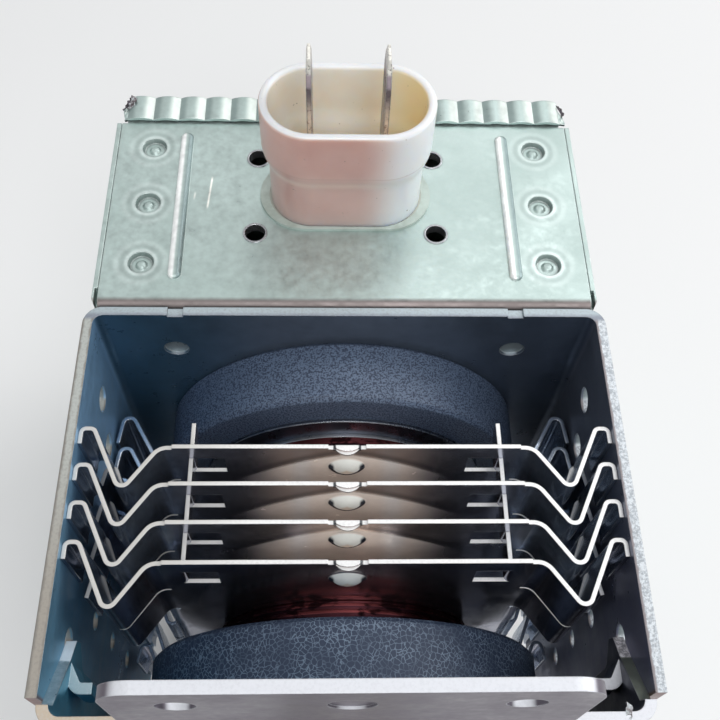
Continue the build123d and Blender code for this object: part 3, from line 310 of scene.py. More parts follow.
def make_fin_painted_light():
    """Fins: a painted warm reflection under a painted shadow of the tube that runs as a dark bow, painted
    grey-blue shade to the ends, and pressed domes painted bright as highlights.
    """
    tree, given, result = new_group(
        "fin_painted_light", [("Color", "Color", (0.9, 0.9, 0.9, 1))],
        [("Color", "Color"), ("Dull", "Float"), ("Dome", "Float"), ("Sheared", "Float"), ("Break", "Float")])
    at = Place(tree)
    high = size_of(tree, at.z)
    # Painted reflection, bright in the middle, and painted grey-blue shade towards the ends
    middle = span(tree, plus(tree, at.across, waver(tree, 60, 2, 6.0)), 18.0, 8.5)
    sides = blend(tree, span(tree, at.across, 23, 28), tone("#a3a6b4"), tone("#a9b6c8"))

    # Depth under a bow whose height falls away from the middle plane; a painted shadow of the tube runs along the
    # bow, with a painted warm reflection and a white painted highlight band under it
    arch = plus(tree, times(tree, at.across, 0.30), times(tree, times(tree, at.across, at.across), 16.0))
    bow = minus(tree, minus(tree, BOW_TOP * MM, arch), high)
    warm_reflection = blend(tree, 0.7, given["Color"], tone("#fff0e3"))
    warm_reflection = blend(tree, ring(tree, at.across, 6.8, 2.6, 0.7), warm_reflection, tone("#ffffff"))
    under = blend(tree, span(tree, bow, 0.0, 1.2), tone("#c9bfbc"), warm_reflection)
    line = span(tree, size_of(tree, bow), 0.0, 1.7, 0.6, 0.0)
    face = blend(tree, middle, sides, blend(tree, line, under, tone("#5f585b")))

    # Pressed dome: painted highlight, warm in its middle, with painted shade along its lower edge and a pale
    # painted highlight ring round it
    drop = minus(tree, high, DOME_HEIGHT * MM)
    reach = diagonal(tree, at.x, drop)
    dome = span(tree, reach, DOME_RADIUS, DOME_RADIUS - 0.2)
    sunk = calc(tree, "DIVIDE", calc(tree, "MINIMUM", minus(tree, drop, 0.3 * MM), 0.0), 1.2 * MM)
    wide = calc(tree, "DIVIDE", at.x, 2.75 * MM)
    shade = times(tree, ramp(tree, diagonal(tree, wide, sunk), 0.62, 0.76), span(tree, drop, 1.7, 0.7))
    core = plus(tree, size_of(tree, plus(tree, drop, 0.1 * MM)), times(tree, at.across, 0.8))
    pressed = blend(tree, span(tree, core, 1.2, 0.4, 0.0, 0.6), tone("#fbfffb"), tone("#e8cdb2"))
    pressed = blend(tree, shade, pressed, tone("#222d3a"))
    halo = times(tree, between(tree, reach, DOME_RADIUS, DOME_RADIUS + 0.4, 0.2), 0.4)
    face = blend(tree, dome, blend(tree, halo, face, tone("#f0e6dc")), pressed)

    warm_reflection_mask = times(tree, times(tree, middle, span(tree, bow, 0.6, 1.6)), 0.9)
    # Painted shade in the breaks beside the coined bead
    gap = times(tree, between(tree, at.across, 1.62, 2.00, 0.1), span(tree, high, 36.6, 36.9))
    tree.links.new(face, result["Color"])
    tree.links.new(calc(tree, "MAXIMUM", dome, warm_reflection_mask), result["Dull"])
    tree.links.new(dome, result["Dome"])
    tree.links.new(span(tree, at.z, 18, 26, 0.1, 1.0), result["Sheared"])
    tree.links.new(gap, result["Break"])
    return tree


SHEET_GRAIN = make_sheet_grain()
WORN_AND_GLINT_EDGE = make_worn_and_glint_edge()
CUT_EDGE = make_cut_edge()
MATT_CLOUD = make_matt_cloud()
FIN_PAINTED_LIGHT = make_fin_painted_light()
FINISHES = {}


def new_material(name, metallic=0.0, **sockets):
    """New material, kept in FINISHES under its name; gives its tree and its shader's sockets."""
    made = bpy.data.materials.new(name)
    made.use_nodes = True
    FINISHES[name] = made
    tree = made.node_tree
    shader = tree.nodes["Principled BSDF"].inputs
    shader["Metallic"].default_value = metallic
    for key, value in sockets.items():
        shader[key.replace("_", " ")].default_value = value
    return tree, shader


def relief(tree, shader, height, distance, normal=None):
    """Bump over the surface or over a given normal; distance is in millimetres."""
    bump = put(tree, "ShaderNodeBump", Strength=1.0, Distance=distance * MM, Height=height)
    if normal is not None:
        tree.links.new(normal, bump.inputs["Normal"])
    tree.links.new(bump.outputs[0], shader["Normal"])


def sheet_metal(name, colour, cloud_colour, rough, edge, cloud=0.6, grain=0.2, stretch=(1, 1, 1),
                edge_width=0.25, edge_amount=0.8, metallic=0.9, cut=None, tint=None, cut_tint=None,
                sheared_part=None, dull=None):
    """Plated or rolled sheet; cut gives its sheared edges, tint recolours the faces and cut_tint the edges."""
    tree, shader = new_material(name, metallic)
    face = tone(colour) if tint is None else tint(tree, tone(colour))
    grained = use(tree, SHEET_GRAIN, Color=face, Cloud_Color=tone(cloud_colour), Roughness=rough,
                  Cloud=cloud, Grain=grain, Stretch=stretch)
    if tint is not None:
        shade = blend(tree, 0.5, face, tone(cloud_colour), "MULTIPLY")
        tree.links.new(blend(tree, 0.6, face, shade), grained.inputs["Cloud Color"])
    worn = use(tree, WORN_AND_GLINT_EDGE, Color=grained.outputs["Color"], Edge_Color=tone(edge),
               Width=edge_width * MM, Amount=edge_amount).outputs
    colour_out, rough_out = worn["Color"], grained.outputs["Roughness"]
    if cut is not None:
        edge_colour = tone(cut[0]) if cut_tint is None else cut_tint(tree, tone(cut[0]))
        amount = 1.0 if sheared_part is None else sheared_part(tree)
        sheared = use(tree, CUT_EDGE, Color=colour_out, Cut_Color=edge_colour, Streak_Color=tone(cut[1]),
                      Amount=amount)
        if cut_tint is not None:
            tree.links.new(blend(tree, 0.35, edge_colour, tone(cut[1])), sheared.inputs["Streak Color"])
        colour_out, mask = sheared.outputs["Color"], sheared.outputs["Mask"]
        rough_out = calc(tree, "MAXIMUM", rough_out, times(tree, mask, 0.45))
        metal = ramp(tree, mask, 0, 1, metallic, 0.3)
        if dull is not None:
            metal = times(tree, metal, minus(tree, 1.0, dull(tree)))
        tree.links.new(metal, shader["Metallic"])
    tree.links.new(colour_out, shader["Base Color"])
    tree.links.new(rough_out, shader["Roughness"])
    relief(tree, shader, grained.outputs["Height"], 0.01, worn["Normal"])


def yoke_walls(tree, outside):
    """Inner faces of the yoke painted bluer and darker as painted reflection and shade, warmer to the right, with
    painted shade in the back wall's corners; rust on its sheared ends.
    """
    at = Place(tree)
    inner = times(tree, span(tree, at.across, YOKE_WALL_INSIDE + 0.3, YOKE_WALL_INSIDE),
                  span(tree, at.y, YOKE_BACK_INSIDE + 0.9, YOKE_BACK_INSIDE + 0.5))
    # Painted reflection: bluer and brighter to the left and further back, greyer to the right; painted shade in
    # the back wall's corners
    side = span(tree, at.x, -30, 30)
    near = blend(tree, side, tone("#6b9db8"), tone("#74768e"))
    far = blend(tree, side, tone("#92bde0"), tone("#757d8c"))
    walls = blend(tree, span(tree, at.y, 4, 50), near, far)
    corner = blend(tree, side, tone("#3f6078"), tone("#4a5668"))
    back = blend(tree, span(tree, at.across, 6, 33), tone("#65707f"), corner)
    walls = blend(tree, span(tree, at.y, YOKE_BACK_INSIDE - 0.9, YOKE_BACK_INSIDE), walls, back)
    rust = blend(tree, noise(tree, object_coords(tree), 900), tone("#4c2f2e"), tone("#8b6660"))
    return blend(tree, span(tree, at.y, 4.4, 3.8), blend(tree, inner, outside, walls), rust)


def yoke_rims(tree, pale):
    """Sheared rims: a rough brownish band beside a smooth bright one, and a dark band along the far side."""
    at = Place(tree)
    wander = waver(tree, 700, 3, 0.6)
    split = plus(tree, at.across, wander)
    middle = blend(tree, span(tree, at.y, 12, 45), tone("#a09a91"), pale)
    rough_band = between(tree, split, YOKE_WALL_INSIDE, YOKE_WALL_INSIDE + 1.0, 0.2)
    left = blend(tree, rough_band, tone("#84807a"), middle)
    fleck = ramp(tree, noise(tree, object_coords(tree), 2400, rough=0.7), 0.40, 0.62)
    smooth = blend(tree, fleck, tone("#d6dce1"), tone("#a3aab1"))
    smooth_band = span(tree, split, YOKE_WALL_INSIDE, YOKE_WALL_INSIDE + 0.2)
    right = blend(tree, smooth_band, tone("#8f888b"), smooth)
    sides = blend(tree, span(tree, at.x, -10, 10), left, right)
    far = blend(tree, span(tree, plus(tree, at.y, wander), 59.4, 60.2), tone("#8b929e"), tone("#adbac0"))
    far = blend(tree, span(tree, at.y, 60.85, 61.0), far, tone("#2c3138"))
    return blend(tree, span(tree, at.y, YOKE_BACK_INSIDE - 0.7, YOKE_BACK_INSIDE), sides, far)


def hook_grit(tree):
    return noise(tree, object_coords(tree), 1600, rough=0.7)


def hook_parts(tree):
    """Masks of the sheared hooks beside the tray, and of their torn ends."""
    at = Place(tree)
    edge_on = ramp(tree, size_of(tree, facing(tree, "X")), 0.3, 0.6, 1.0, 0.0)
    sheared = times(tree, times(tree, span(tree, at.across, 36.8, 37.1), edge_on), span(tree, at.y, 2.0, 3.2))
    ragged = plus(tree, at.y, times(tree, hook_grit(tree), 0.6 * MM))
    return sheared, span(tree, ragged, HOOK_TIP, HOOK_TIP + 0.4)


def hook_tips(tree):
    """Mask of the torn tips of the hooks, which are less of a mirror than the plate."""
    return times(tree, *hook_parts(tree))


def plate_faces(tree, grey):
    """Grey ears; the tray carries a painted blue reflection on the left and painted shade on the right; bright
    sheared flanges, painted paler and bluer to the left as painted light.
    """
    at = Place(tree)
    ear = span(tree, size_of(tree, at.z), EAR_START, EAR_START + 1.0)
    side = span(tree, at.x, -15, 15)
    inside = times(tree, span(tree, at.y, 0.6, 1.0), span(tree, at.across, 38.0, 37.7))
    # Tray: painted blue reflection on the left, painted shade on the right
    tray = blend(tree, inside, grey, blend(tree, side, tone("#5f9fb8"), tone("#3b3f4e")))
    sheared, tip = hook_parts(tree)
    grit = hook_grit(tree)
    # Sheared hooks: painted light, paler and bluer on the left, with a pale painted highlight on the left torn
    # tip
    slope = blend(tree, side, blend(tree, grit, tone("#8fb4bd"), tone("#dfeaf0")), tone("#9ca497"))
    torn = blend(tree, ramp(tree, grit, 0.4, 0.6), tone("#5a5053"), tone("#f6f0f2"))
    point = blend(tree, side, tone("#e6f1fa"), torn)
    tray = blend(tree, sheared, tray, blend(tree, tip, slope, point))
    return blend(tree, ear, tray, grey)


def plate_rims(tree, pale):
    """Sheared edges of the plate: bright on ears and right, tan and blue grey on the left of the tray."""
    at = Place(tree)
    tray = times(tree, span(tree, at.z, 46, 44), span(tree, at.x, -20, -30))
    left = blend(tree, span(tree, at.y, 3.5, 4.5), tone("#c0b29f"), tone("#9fb4ba"))
    return blend(tree, tray, pale, left)


def button_reach(tree):
    """Distance from the nearest of the six pressed buttons on the top of the box."""
    at = Place(tree)
    rows = [size_of(tree, minus(tree, at.y, (BUTTON_ROW + step * BUTTON_STEP) * MM)) for step in (-1, 0, 1)]
    row = calc(tree, "MINIMUM", rows[0], calc(tree, "MINIMUM", rows[1], rows[2]))
    return diagonal(tree, minus(tree, at.across, BUTTON_ASIDE * MM), row)


def box_faces(tree, plated):
    """Painted highlight and shade rings round the buttons, painted pinkish shade on the first bend with a dark
    seam under it, a painted highlight and painted shade on the ribs' sides, and two scratches.
    """
    at = Place(tree)
    top = span(tree, at.z, 36.6, 37.2)
    reach = button_reach(tree)
    # Painted light round each button: painted shade in its recess, a painted highlight on its rim, and painted
    # shade and highlight over the faint raised ring
    light = plus(tree, ring(tree, reach, 2.35, 0.5, 0.35), ring(tree, reach, 3.9, 0.8, 0.14))
    dark = plus(tree, ring(tree, reach, 3.1, 0.6, 0.12), ring(tree, reach, 1.75, 0.5, 0.5))
    face = blend(tree, times(tree, light, top), plated, tone("#f2fbfa"))
    face = blend(tree, times(tree, dark, top), face, tone("#5f5c5e"))
    # Painted shade on the first bend
    bend = times(tree, span(tree, at.y, 63.0, 62.1), span(tree, at.z, 36.6, 37.6))
    face = blend(tree, bend, face, tone("#756d6c"))

    # Distance to the right of each rib's middle, on the raised part only; a painted highlight on each rib's left
    # side and painted shade on its right side
    aside = times(tree, minus(tree, at.across, RIB_ASIDE * MM), calc(tree, "SIGN", at.x))
    rib = span(tree, at.z, 38.52, 38.66)
    lit_side = times(tree, between(tree, aside, -1.4, -0.1, 0.2), rib)
    shaded_side = times(tree, between(tree, aside, 0.3, 1.3, 0.3), rib)
    face = blend(tree, times(tree, lit_side, 0.85), face, tone("#ffffff"))
    face = blend(tree, times(tree, shaded_side, 0.55), face, tone("#6f8288"))
    seam = times(tree, span(tree, at.y, 62.2, 61.7), span(tree, at.z, 37.9, 37.3))
    face = blend(tree, seam, face, tone("#23272c"))

    # Scratches, slightly aslant
    slant = minus(tree, at.x, times(tree, at.y, 0.068))
    for place, start, length, strength in ((-28.2, 80.4, 6.2, 0.9), (-30.6, 82.2, 1.2, 0.5)):
        line = times(tree, between(tree, slant, place, place + 0.3, 0.1),
                     between(tree, at.y, start, start + length, 0.5))
        face = blend(tree, times(tree, line, strength), face, tone("#fdfdf6"))
    return face


def blade_faces(tree, tinned):
    """Speckled tin with tarnished corners, a dark band under the worn tip, and browner towards the foot."""
    at = Place(tree)
    speck = ramp(tree, noise(tree, object_coords(tree), 2300, rough=0.7), 0.34, 0.46)
    tip = blend(tree, speck, tone("#8f8c84"), tinned)
    foot = blend(tree, speck, tone("#a8968a"), tone("#e8dccf"))
    dark = blend(tree, span(tree, at.z, 59.0, 64.5), foot, tone("#776c70"))
    dull = blend(tree, span(tree, at.z, 65.0, 65.6), dark, tone("#a99ba2"))
    face = blend(tree, span(tree, at.z, 66.8, 67.4), dull, tip)
    corner = size_of(tree, minus(tree, at.across, BLADE_ASIDE * MM))
    outline = times(tree, span(tree, corner, 0.18, 0.3), span(tree, at.z, 69.0, 66.0, 0.2, 0.55))
    return blend(tree, outline, face, tone("#5a5053"))


def lid_faces(tree, plated):
    """Flutes with a painted highlight on their right-facing sides and painted shade on their left-facing sides,
    and a painted shadow along the rim where the lip ends over the box.
    """
    at = Place(tree)
    # Painted highlight on the right-facing sides of the flutes, painted shade on the left-facing ones
    on_top = times(tree, ramp(tree, facing(tree, "Z"), 0.4, 0.7), span(tree, at.z, 38.4, 38.7))
    sideways = facing(tree, "X")
    lit_side = ramp(tree, sideways, 0.03, 0.26, 0.0, 0.5)
    shaded_side = ramp(tree, sideways, -0.12, -0.3, 0.0, 0.45)
    face = blend(tree, times(tree, lit_side, on_top), plated, tone("#fbfff9"))
    face = blend(tree, times(tree, shaded_side, on_top), face, tone("#5f7272"))
    # Painted shadow along the lip's near edge, over the box
    rim = times(tree, span(tree, at.y, LID_LIP, LID_LIP - 0.25), span(tree, at.z, 38.95, 38.85, 0.0, 0.95))
    return blend(tree, rim, face, tone("#2f353b"))


def fin_part(label):
    """One output of the fins' group, looked up in a material's tree."""
    return lambda tree: use(tree, FIN_PAINTED_LIGHT).outputs[label]


def fin_faces(tree, plain):
    """Faces of the fins as their group gives them, with painted shade in the breaks beside the coined bead."""
    made = use(tree, FIN_PAINTED_LIGHT, Color=plain).outputs
    return blend(tree, made["Break"], made["Color"], tone("#33383f"))


def fin_rims(tree, pale):
    """Sheared rims of the fins: greyer to the left, with painted shade in the breaks beside the coined bead."""
    rim = blend(tree, span(tree, Place(tree).x, -10, -27), pale, tone("#cbc9c5"))
    return blend(tree, fin_part("Break")(tree), rim, tone("#33383f"))


def front_fin_faces(tree, plain):
    """The outer face of the first fin is painted darker as painted shade, apart from its pressed domes."""
    outer_shade = blend(tree, span(tree, Place(tree).across, 6, 20), tone("#b3a5a8"), tone("#8a8d9e"))
    flat = minus(tree, 1.0, fin_part("Dome")(tree))
    outer = times(tree, ramp(tree, facing(tree, "Y"), -0.2, -0.5), flat)
    return blend(tree, outer, fin_faces(tree, plain), outer_shade)


def magnet_ferrite(name, dark, light, scale, crackle):
    """Sintered ferrite: slate with pale lines between small cells, or fine dark specks on blue grey."""
    tree, shader = new_material(name)
    place = object_coords(tree)
    if crackle:
        stray = put(tree, "ShaderNodeTexNoise", Vector=place, Scale=1300, Detail=1).outputs["Color"]
        shift = put(tree, "ShaderNodeVectorMath", {"operation": "SCALE"}, _0=stray, _3=0.5 * MM).outputs[0]
        bent = put(tree, "ShaderNodeVectorMath", {"operation": "ADD"}, _0=place, _1=shift).outputs[0]
        cells = put(tree, "ShaderNodeTexVoronoi", {"feature": "DISTANCE_TO_EDGE"}, Vector=bent, Scale=scale)
        shape = ramp(tree, cells.outputs["Distance"], 0.01, 0.09, 1.0, 0.0)
        cloud = ramp(tree, noise(tree, place, 260), 0.35, 0.62, 0.25, 0.8)
    else:
        shape = ramp(tree, noise(tree, place, scale, detail=2, rough=0.6), 0.44, 0.54)
        cloud = ramp(tree, noise(tree, place, 60), 0.3, 0.7, 0.75, 1.0)
    mask = times(tree, shape, cloud)
    worn = use(tree, WORN_AND_GLINT_EDGE, Color=blend(tree, mask, tone(dark), tone(light)), Edge_Color=tone("#6b7684"),
               Width=0.5 * MM, Amount=0.3).outputs
    tree.links.new(worn["Color"], shader["Base Color"])
    tree.links.new(ramp(tree, mask, 0, 1, 0.6, 0.42), shader["Roughness"])
    relief(tree, shader, mask, 0.015, worn["Normal"])


def turned_copper(name):
    """Turned copper, stained nearly black in drawn-out patches."""
    tree, shader = new_material(name, metallic=1.0)
    place = object_coords(tree)
    along = put(tree, "ShaderNodeSeparateXYZ", Vector=place).outputs["Y"]
    bands = put(tree, "ShaderNodeTexNoise", {"noise_dimensions": "1D"}, W=along, Scale=900, Detail=3)
    lines = ramp(tree, bands.outputs["Fac"], 0.35, 0.65)
    drawn = put(tree, "ShaderNodeVectorMath", {"operation": "MULTIPLY"}, _0=place, _1=(1, 2.5, 1)).outputs[0]
    stain = ramp(tree, noise(tree, drawn, 240, detail=4, rough=0.65, distort=0.4), 0.46, 0.58)
    colour = blend(tree, lines, tone("#3c2228"), tone("#6c393a"))
    tree.links.new(blend(tree, times(tree, stain, 0.85), colour, tone("#170f14")), shader["Base Color"])
    tree.links.new(ramp(tree, stain, 0, 1, 0.3, 0.6), shader["Roughness"])
    relief(tree, shader, lines, 0.03)


def glazed_cup(name):
    """Moulded cup: pinkish outside as painted shade, painted lighter under the flare and with a painted highlight
    to the right; creamier inside as painted light, with a painted warm glow to the right; a painted highlight on
    the rim; a faint darker line where the flare starts.
    """
    tree, shader = new_material(name, Coat_Weight=0.3, Coat_Roughness=0.12, Subsurface_Weight=0.95,
                                Subsurface_Scale=4 * MM, Subsurface_Radius=(1.0, 0.8, 0.62))
    place = object_coords(tree)
    at = Place(tree)

    # Distance from the line between the middles of the cup's two round ends
    past_end = calc(tree, "MAXIMUM", minus(tree, at.across, CUP_END_ASIDE * MM), 0.0)
    reach = diagonal(tree, past_end, minus(tree, at.y, CUP_MIDDLE * MM))
    wall = span(tree, at.z, 47.2, 52.2, 6.1 * MM, 7.1 * MM)
    inside = span(tree, minus(tree, wall, reach), 0.0, 0.3)

    cloud = ramp(tree, noise(tree, place, 120), 0.3, 0.7)
    # Outside: pinkish painted shade, painted lighter under the flare, with a painted highlight to the right
    outer = blend(tree, cloud, tone("#cdaaa3"), tone("#d5b5ae"))
    outer = blend(tree, ring(tree, at.z, 49.4, 1.5, 0.5), outer, tone("#f4dcd3"))
    outer = blend(tree, span(tree, at.x, 1.5, 10.5), outer, tone("#fdfeff"))
    # Inside: cream as painted light, with a painted warm glow to the right
    inner = blend(tree, cloud, tone("#ffe9da"), tone("#fff3e8"))
    inner = blend(tree, span(tree, at.x, 2, 12, 0.0, 0.8), inner, tone("#ffdcb6"))
    # Rim: painted highlight
    rim = span(tree, at.z, CUP_RIM - 0.3, CUP_RIM)
    glazed = blend(tree, rim, blend(tree, inside, outer, inner), tone("#fdf8f6"))
    # Faint darker line at the top of the flare, on the outside only
    line = times(tree, ring(tree, at.z, 51.5, 0.25, 0.35), minus(tree, 1.0, inside))
    body = blend(tree, line, glazed, tone("#b89a92"))
    speck = ramp(tree, noise(tree, place, 1400, detail=2), 0.72, 0.78)
    tree.links.new(blend(tree, speck, body, tone("#a08a80")), shader["Base Color"])
    tree.links.new(ramp(tree, cloud, 0, 1, 0.3, 0.42), shader["Roughness"])
    relief(tree, shader, noise(tree, place, 420, detail=2), 0.008)


def plain_matt(name, colour, other, rough=0.5, scale=300, metallic=0.0, depth=0.02, foot=None):
    """Matt surface clouded between two colours; foot gives a height under which it is another colour."""
    tree, shader = new_material(name, metallic)
    cloud = use(tree, MATT_CLOUD, Color=tone(colour), Other_Color=tone(other), Scale=scale,
                Roughness=rough).outputs
    body = cloud["Color"]
    if foot is not None:
        height, foot_colour = foot
        above = span(tree, Place(tree).z, height, height + 0.1)
        body = blend(tree, above, tone(foot_colour), body)
    tree.links.new(body, shader["Base Color"])
    tree.links.new(cloud["Roughness"], shader["Roughness"])
    relief(tree, shader, cloud["Height"], depth)


sheet_metal("yoke_zinc", "#98a3a6", "#7a868c", 0.36, "#c2c8ca", stretch=(1, 0.15, 1), metallic=0.55,
            cut=("#b7bbb7", "#7e7c7a"), tint=yoke_walls, cut_tint=yoke_rims)
sheet_metal("box_zinc", "#b2c2bf", "#a3b3ab", 0.44, "#d9e4e1", cloud=0.45, grain=0.4, metallic=0.75,
            tint=box_faces)
sheet_metal("lid_zinc", "#b2c2bf", "#a3b3ab", 0.4, "#d9e4e1", cloud=0.4, grain=0.3, metallic=0.75,
            tint=lid_faces)
sheet_metal("plate_zinc", "#6f6a73", "#d8d4da", 0.4, "#c6c8ce", metallic=0.8, cut=("#dcdee4", "#c4c6cc"),
            tint=plate_faces, cut_tint=plate_rims, dull=hook_tips)
sheet_metal("fin_aluminium", "#fbf7f5", "#f1eae6", 0.22, "#f4f5f6", cloud=0.2, grain=0.05, metallic=0.9,
            cut=("#f4f4f3", "#c6c6c5"), tint=fin_faces, cut_tint=fin_rims,
            sheared_part=fin_part("Sheared"), dull=fin_part("Dull"))
# Copy of the fins' finish whose first fin carries painted shade on its outer face
sheet_metal("front_fin", "#fbf7f5", "#f1eae6", 0.2, "#f4f5f6", cloud=0.2, grain=0.05, metallic=0.95,
            cut=("#f4f4f3", "#c6c6c5"), tint=front_fin_faces, cut_tint=fin_rims,
            sheared_part=fin_part("Sheared"), dull=fin_part("Dome"))
# Shim: dark face as painted shade, with a bright painted glint along its edges
sheet_metal("shim_painted_shade", "#5a6271", "#474e5c", 0.3, "#d3dae0", edge_width=0.35, edge_amount=1.0)
sheet_metal("seal_satin", "#a2a4a8", "#86888c", 0.3, "#d8dadc")
sheet_metal("blade_tin", "#eceae2", "#cfcac2", 0.4, "#f8f6f0", cloud=0.4, grain=0.8, metallic=0.4,
            tint=blade_faces)
magnet_ferrite("far_ferrite", "#2b364b", "#5f6f86", scale=3600, crackle=False)
magnet_ferrite("near_ferrite", "#334159", "#8ea3ba", scale=1450, crackle=True)
turned_copper("copper_turned")
glazed_cup("glazed_cup")
plain_matt("alumina_white", "#dcd6d2", "#cfc8c2")
plain_matt("soft_iron", "#6a6c70", "#54565a", metallic=1.0)
plain_matt("heater_grey", "#55565a", "#444548", metallic=1.0)
plain_matt("coil_enamel", "#a8653c", "#8a4e2e", 0.35, metallic=1.0)
plain_matt("woven_braid", "#a9aba8", "#7f817f", 0.4, scale=1200, metallic=1.0, depth=0.15)
plain_matt("case_cream", "#d8d9c9", "#c4c5b3")
plain_matt("gasket_card", "#bac8c1", "#a4b0a8", foot=(38.35, "#54564c"))
plain_matt("torn_zinc", "#d3dadd", "#5a4b4f", scale=1300, metallic=0.4, depth=0.1)
# Dark flakes painted as the shade under the torn ends of the lid, with lighter flecks
plain_matt("torn_painted_shade", "#3a3438", "#66606a", scale=1300, metallic=0.3, depth=0.1)
plain_matt("block_grey", "#5a5a5a", "#4a4a4a")
plain_matt("resin_tan", "#fff0dc", "#f7e3ca", 0.3, foot=(39.05, "#a3a79d"))

SLOT_FINISH = {
    "zinc_plated_steel": "box_zinc", "plate_steel": "plate_zinc", "fin_aluminium": "fin_aluminium",
    "ferrite": "far_ferrite", "copper": "copper_turned", "shim_metal": "shim_painted_shade",
    "seal_metal": "seal_satin", "soft_iron": "soft_iron", "heater_metal": "heater_grey",
    "alumina": "alumina_white", "wire": "coil_enamel", "braid": "woven_braid",
    "capacitor_ceramic": "block_grey", "insulator": "case_cream", "resin": "resin_tan",
    "connector_cup": "glazed_cup", "blade_metal": "blade_tin",
}
NODE_FINISH = {"yoke_frame": "yoke_zinc", "antenna_magnet": "near_ferrite", "filter_lid": "lid_zinc",
               "cooling_fin_4": "front_fin", "base_gasket": "gasket_card"}

for part in frame["record"]["subparts"]:
    solid = frame["nodes"][part["node"]]
    finish = NODE_FINISH.get(part["node"], SLOT_FINISH[part["material_slot"]])
    for slot in solid.material_slots:
        slot.material = FINISHES[finish]


def keep_piece(shape, name, finish):
    """Turns a finished bmesh into a piece of the scene that rides on the part."""
    bmesh.ops.recalc_face_normals(shape, faces=shape.faces[:])
    data = bpy.data.meshes.new(name)
    shape.to_mesh(data)
    shape.free()
    piece = bpy.data.objects.new(name, data)
    data.materials.append(FINISHES[finish])
    bpy.context.scene.collection.objects.link(piece)
    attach(piece, "root")


def torn_flake(name, finish, sheet, rough, corners, cuts=7):
    """Sliver of sheet between four corners (x, y, z), ragged by rough and sheet thick, in millimetres."""
    shape = bmesh.new()
    bmesh.ops.create_grid(shape, x_segments=cuts, y_segments=cuts, size=0.5)
    a, b, c, d = (Vector(corner) for corner in corners)
    waves_per_mm = 1.9
    for point in shape.verts:
        u, v = point.co.x + 0.5, point.co.y + 0.5
        place = a.lerp(b, u).lerp(d.lerp(c, u), v)
        point.co = (place + stray_noise.noise_vector(place * waves_per_mm) * rough) * MM
    bmesh.ops.solidify(shape, geom=shape.faces[:], thickness=sheet * MM)
    keep_piece(shape, name, finish)


def edge_bead(name, y, top):
    """Coined bead that fills the dimple in the middle of a fin's top edge, cut flush with the fin's back."""
    shape = bmesh.new()
    bmesh.ops.create_circle(shape, cap_ends=True, segments=40, radius=MM)
    bmesh.ops.scale(shape, vec=(BEAD_HALF_WIDTH, BEAD_HALF_DEPTH, 1), verts=shape.verts[:])
    bmesh.ops.translate(shape, vec=(0, (y + BEAD_BEHIND_FIN_MIDDLE) * MM, top * MM), verts=shape.verts[:])
    bmesh.ops.bisect_plane(shape, geom=shape.verts[:] + shape.edges[:] + shape.faces[:],
                           plane_co=(0, (y + FIN_HALF_SHEET) * MM, 0), plane_no=(0, 1, 0), clear_outer=True)
    pulled = bmesh.ops.extrude_face_region(shape, geom=shape.faces[:])["geom"]
    low = [item for item in pulled if isinstance(item, bmesh.types.BMVert)]
    bmesh.ops.translate(shape, vec=(0, 0, -BEAD_HEIGHT * MM), verts=low)
    top_edges = [edge for edge in shape.edges if all(point.co.z > (top - 0.1) * MM for point in edge.verts)]
    bmesh.ops.bevel(shape, geom=top_edges, offset=BEAD_ROUNDING * MM, offset_type="OFFSET", segments=2,
                    profile=0.5, affect="EDGES", material=-1)
    keep_piece(shape, name, "fin_aluminium")


for number in range(FIN_COUNT):
    edge_bead(f"edge_bead_{number + 1}", FIN_FIRST - number * FIN_STEP, FIN_TOP)
stray_noise.seed_set(FLAKE_SEED)
torn_flake("lid_corner_left", "lid_zinc", 0.5, 0.15, [
    (-37.3, 98.95, 39.0), (-37.95, 98.95, 38.95), (-38.35, 101.5, 39.0), (-37.3, 103.2, 39.1)])
# Dark flake as painted shade under the torn curl
torn_flake("lid_tear_shade_left", "torn_painted_shade", 0.3, 0.45, [
    (-38.45, 101.3, 39.0), (-37.5, 101.6, 39.3), (-36.9, 103.7, 39.8), (-37.9, 103.0, 39.2)])
torn_flake("lid_curl_left", "torn_zinc", 0.25, 0.55, [
    (-37.5, 101.3, 39.4), (-36.3, 101.6, 39.5), (-36.2, 103.5, 39.9), (-37.1, 103.6, 40.1)])
torn_flake("lid_corner_right", "lid_zinc", 0.4, 0.12, [
    (37.3, 98.95, 38.95), (38.5, 98.95, 38.85), (38.2, 100.6, 38.95), (37.3, 102.6, 39.0)])
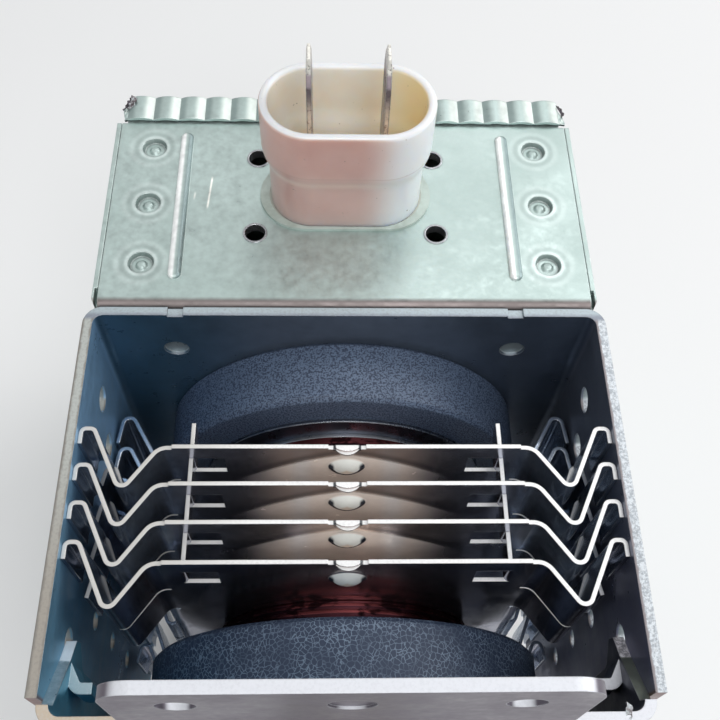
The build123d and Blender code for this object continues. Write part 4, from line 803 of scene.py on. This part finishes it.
# Dark flake as painted shade under the torn end
torn_flake("lid_tear_shade_right", "torn_painted_shade", 0.25, 0.3, [
    (37.35, 103.6, 39.3), (37.7, 103.0, 39.3), (38.5, 101.2, 39.2), (38.15, 100.4, 39.2)])
torn_flake("tray_burr", "torn_zinc", 0.5, 0.25, [
    (34.3, 0.7, 38.45), (34.9, 0.5, 38.5), (35.25, 2.2, 38.75), (34.6, 2.6, 38.8)], cuts=5)


def make_floor():
    """Pale round floor under the lowest point of the part."""
    shape = bmesh.new()
    bmesh.ops.create_circle(shape, cap_ends=True, segments=96, radius=2.5)
    data = bpy.data.meshes.new("floor")
    shape.to_mesh(data)
    shape.free()
    floor = bpy.data.objects.new("floor", data)
    floor.location = (0, 0.04, cad_box[0].z)
    bpy.context.scene.collection.objects.link(floor)
    new_material("pale_floor", Roughness=0.9, Specular_IOR_Level=0.0, Base_Color=tone("#f1f1f1"))
    floor.data.materials.append(FINISHES["pale_floor"])


def light_world():
    """Pale surroundings for what is seen or mirrored, and a dimmer fill light for the rest."""
    world = bpy.data.worlds.new("studio")
    bpy.context.scene.world = world
    world.use_nodes = True
    tree = world.node_tree
    tree.nodes.clear()
    ray = put(tree, "ShaderNodeLightPath").outputs
    mirrored = calc(tree, "MAXIMUM", ray["Is Glossy Ray"], ray["Is Transmission Ray"])
    seen = calc(tree, "MAXIMUM", ray["Is Camera Ray"], mirrored)
    pale = put(tree, "ShaderNodeBackground", Color=tone("#efefef"), Strength=1.0).outputs[0]
    fill = put(tree, "ShaderNodeBackground", Color=(0.96, 0.98, 1.0, 1), Strength=0.38).outputs[0]
    mixed = put(tree, "ShaderNodeMixShader", _0=seen, _1=fill, _2=pale).outputs[0]
    put(tree, "ShaderNodeOutputWorld", Surface=mixed)


place_camera()
make_floor()
light_world()
soft_lamp("key", place=(0.95, 0.35, 0.6), aim=(0, 0.05, 0), size=1.0, power=6.7)
soft_lamp("overhead", place=(0.1, -0.55, 1.0), aim=(0, 0.05, 0), size=0.8, power=6.4)
soft_lamp("back", place=(0.28, 0.74, 1.06), aim=(0, 0.08, 0.04), size=0.45, power=1.7)
bpy.context.scene.view_settings.view_transform = "Standard"
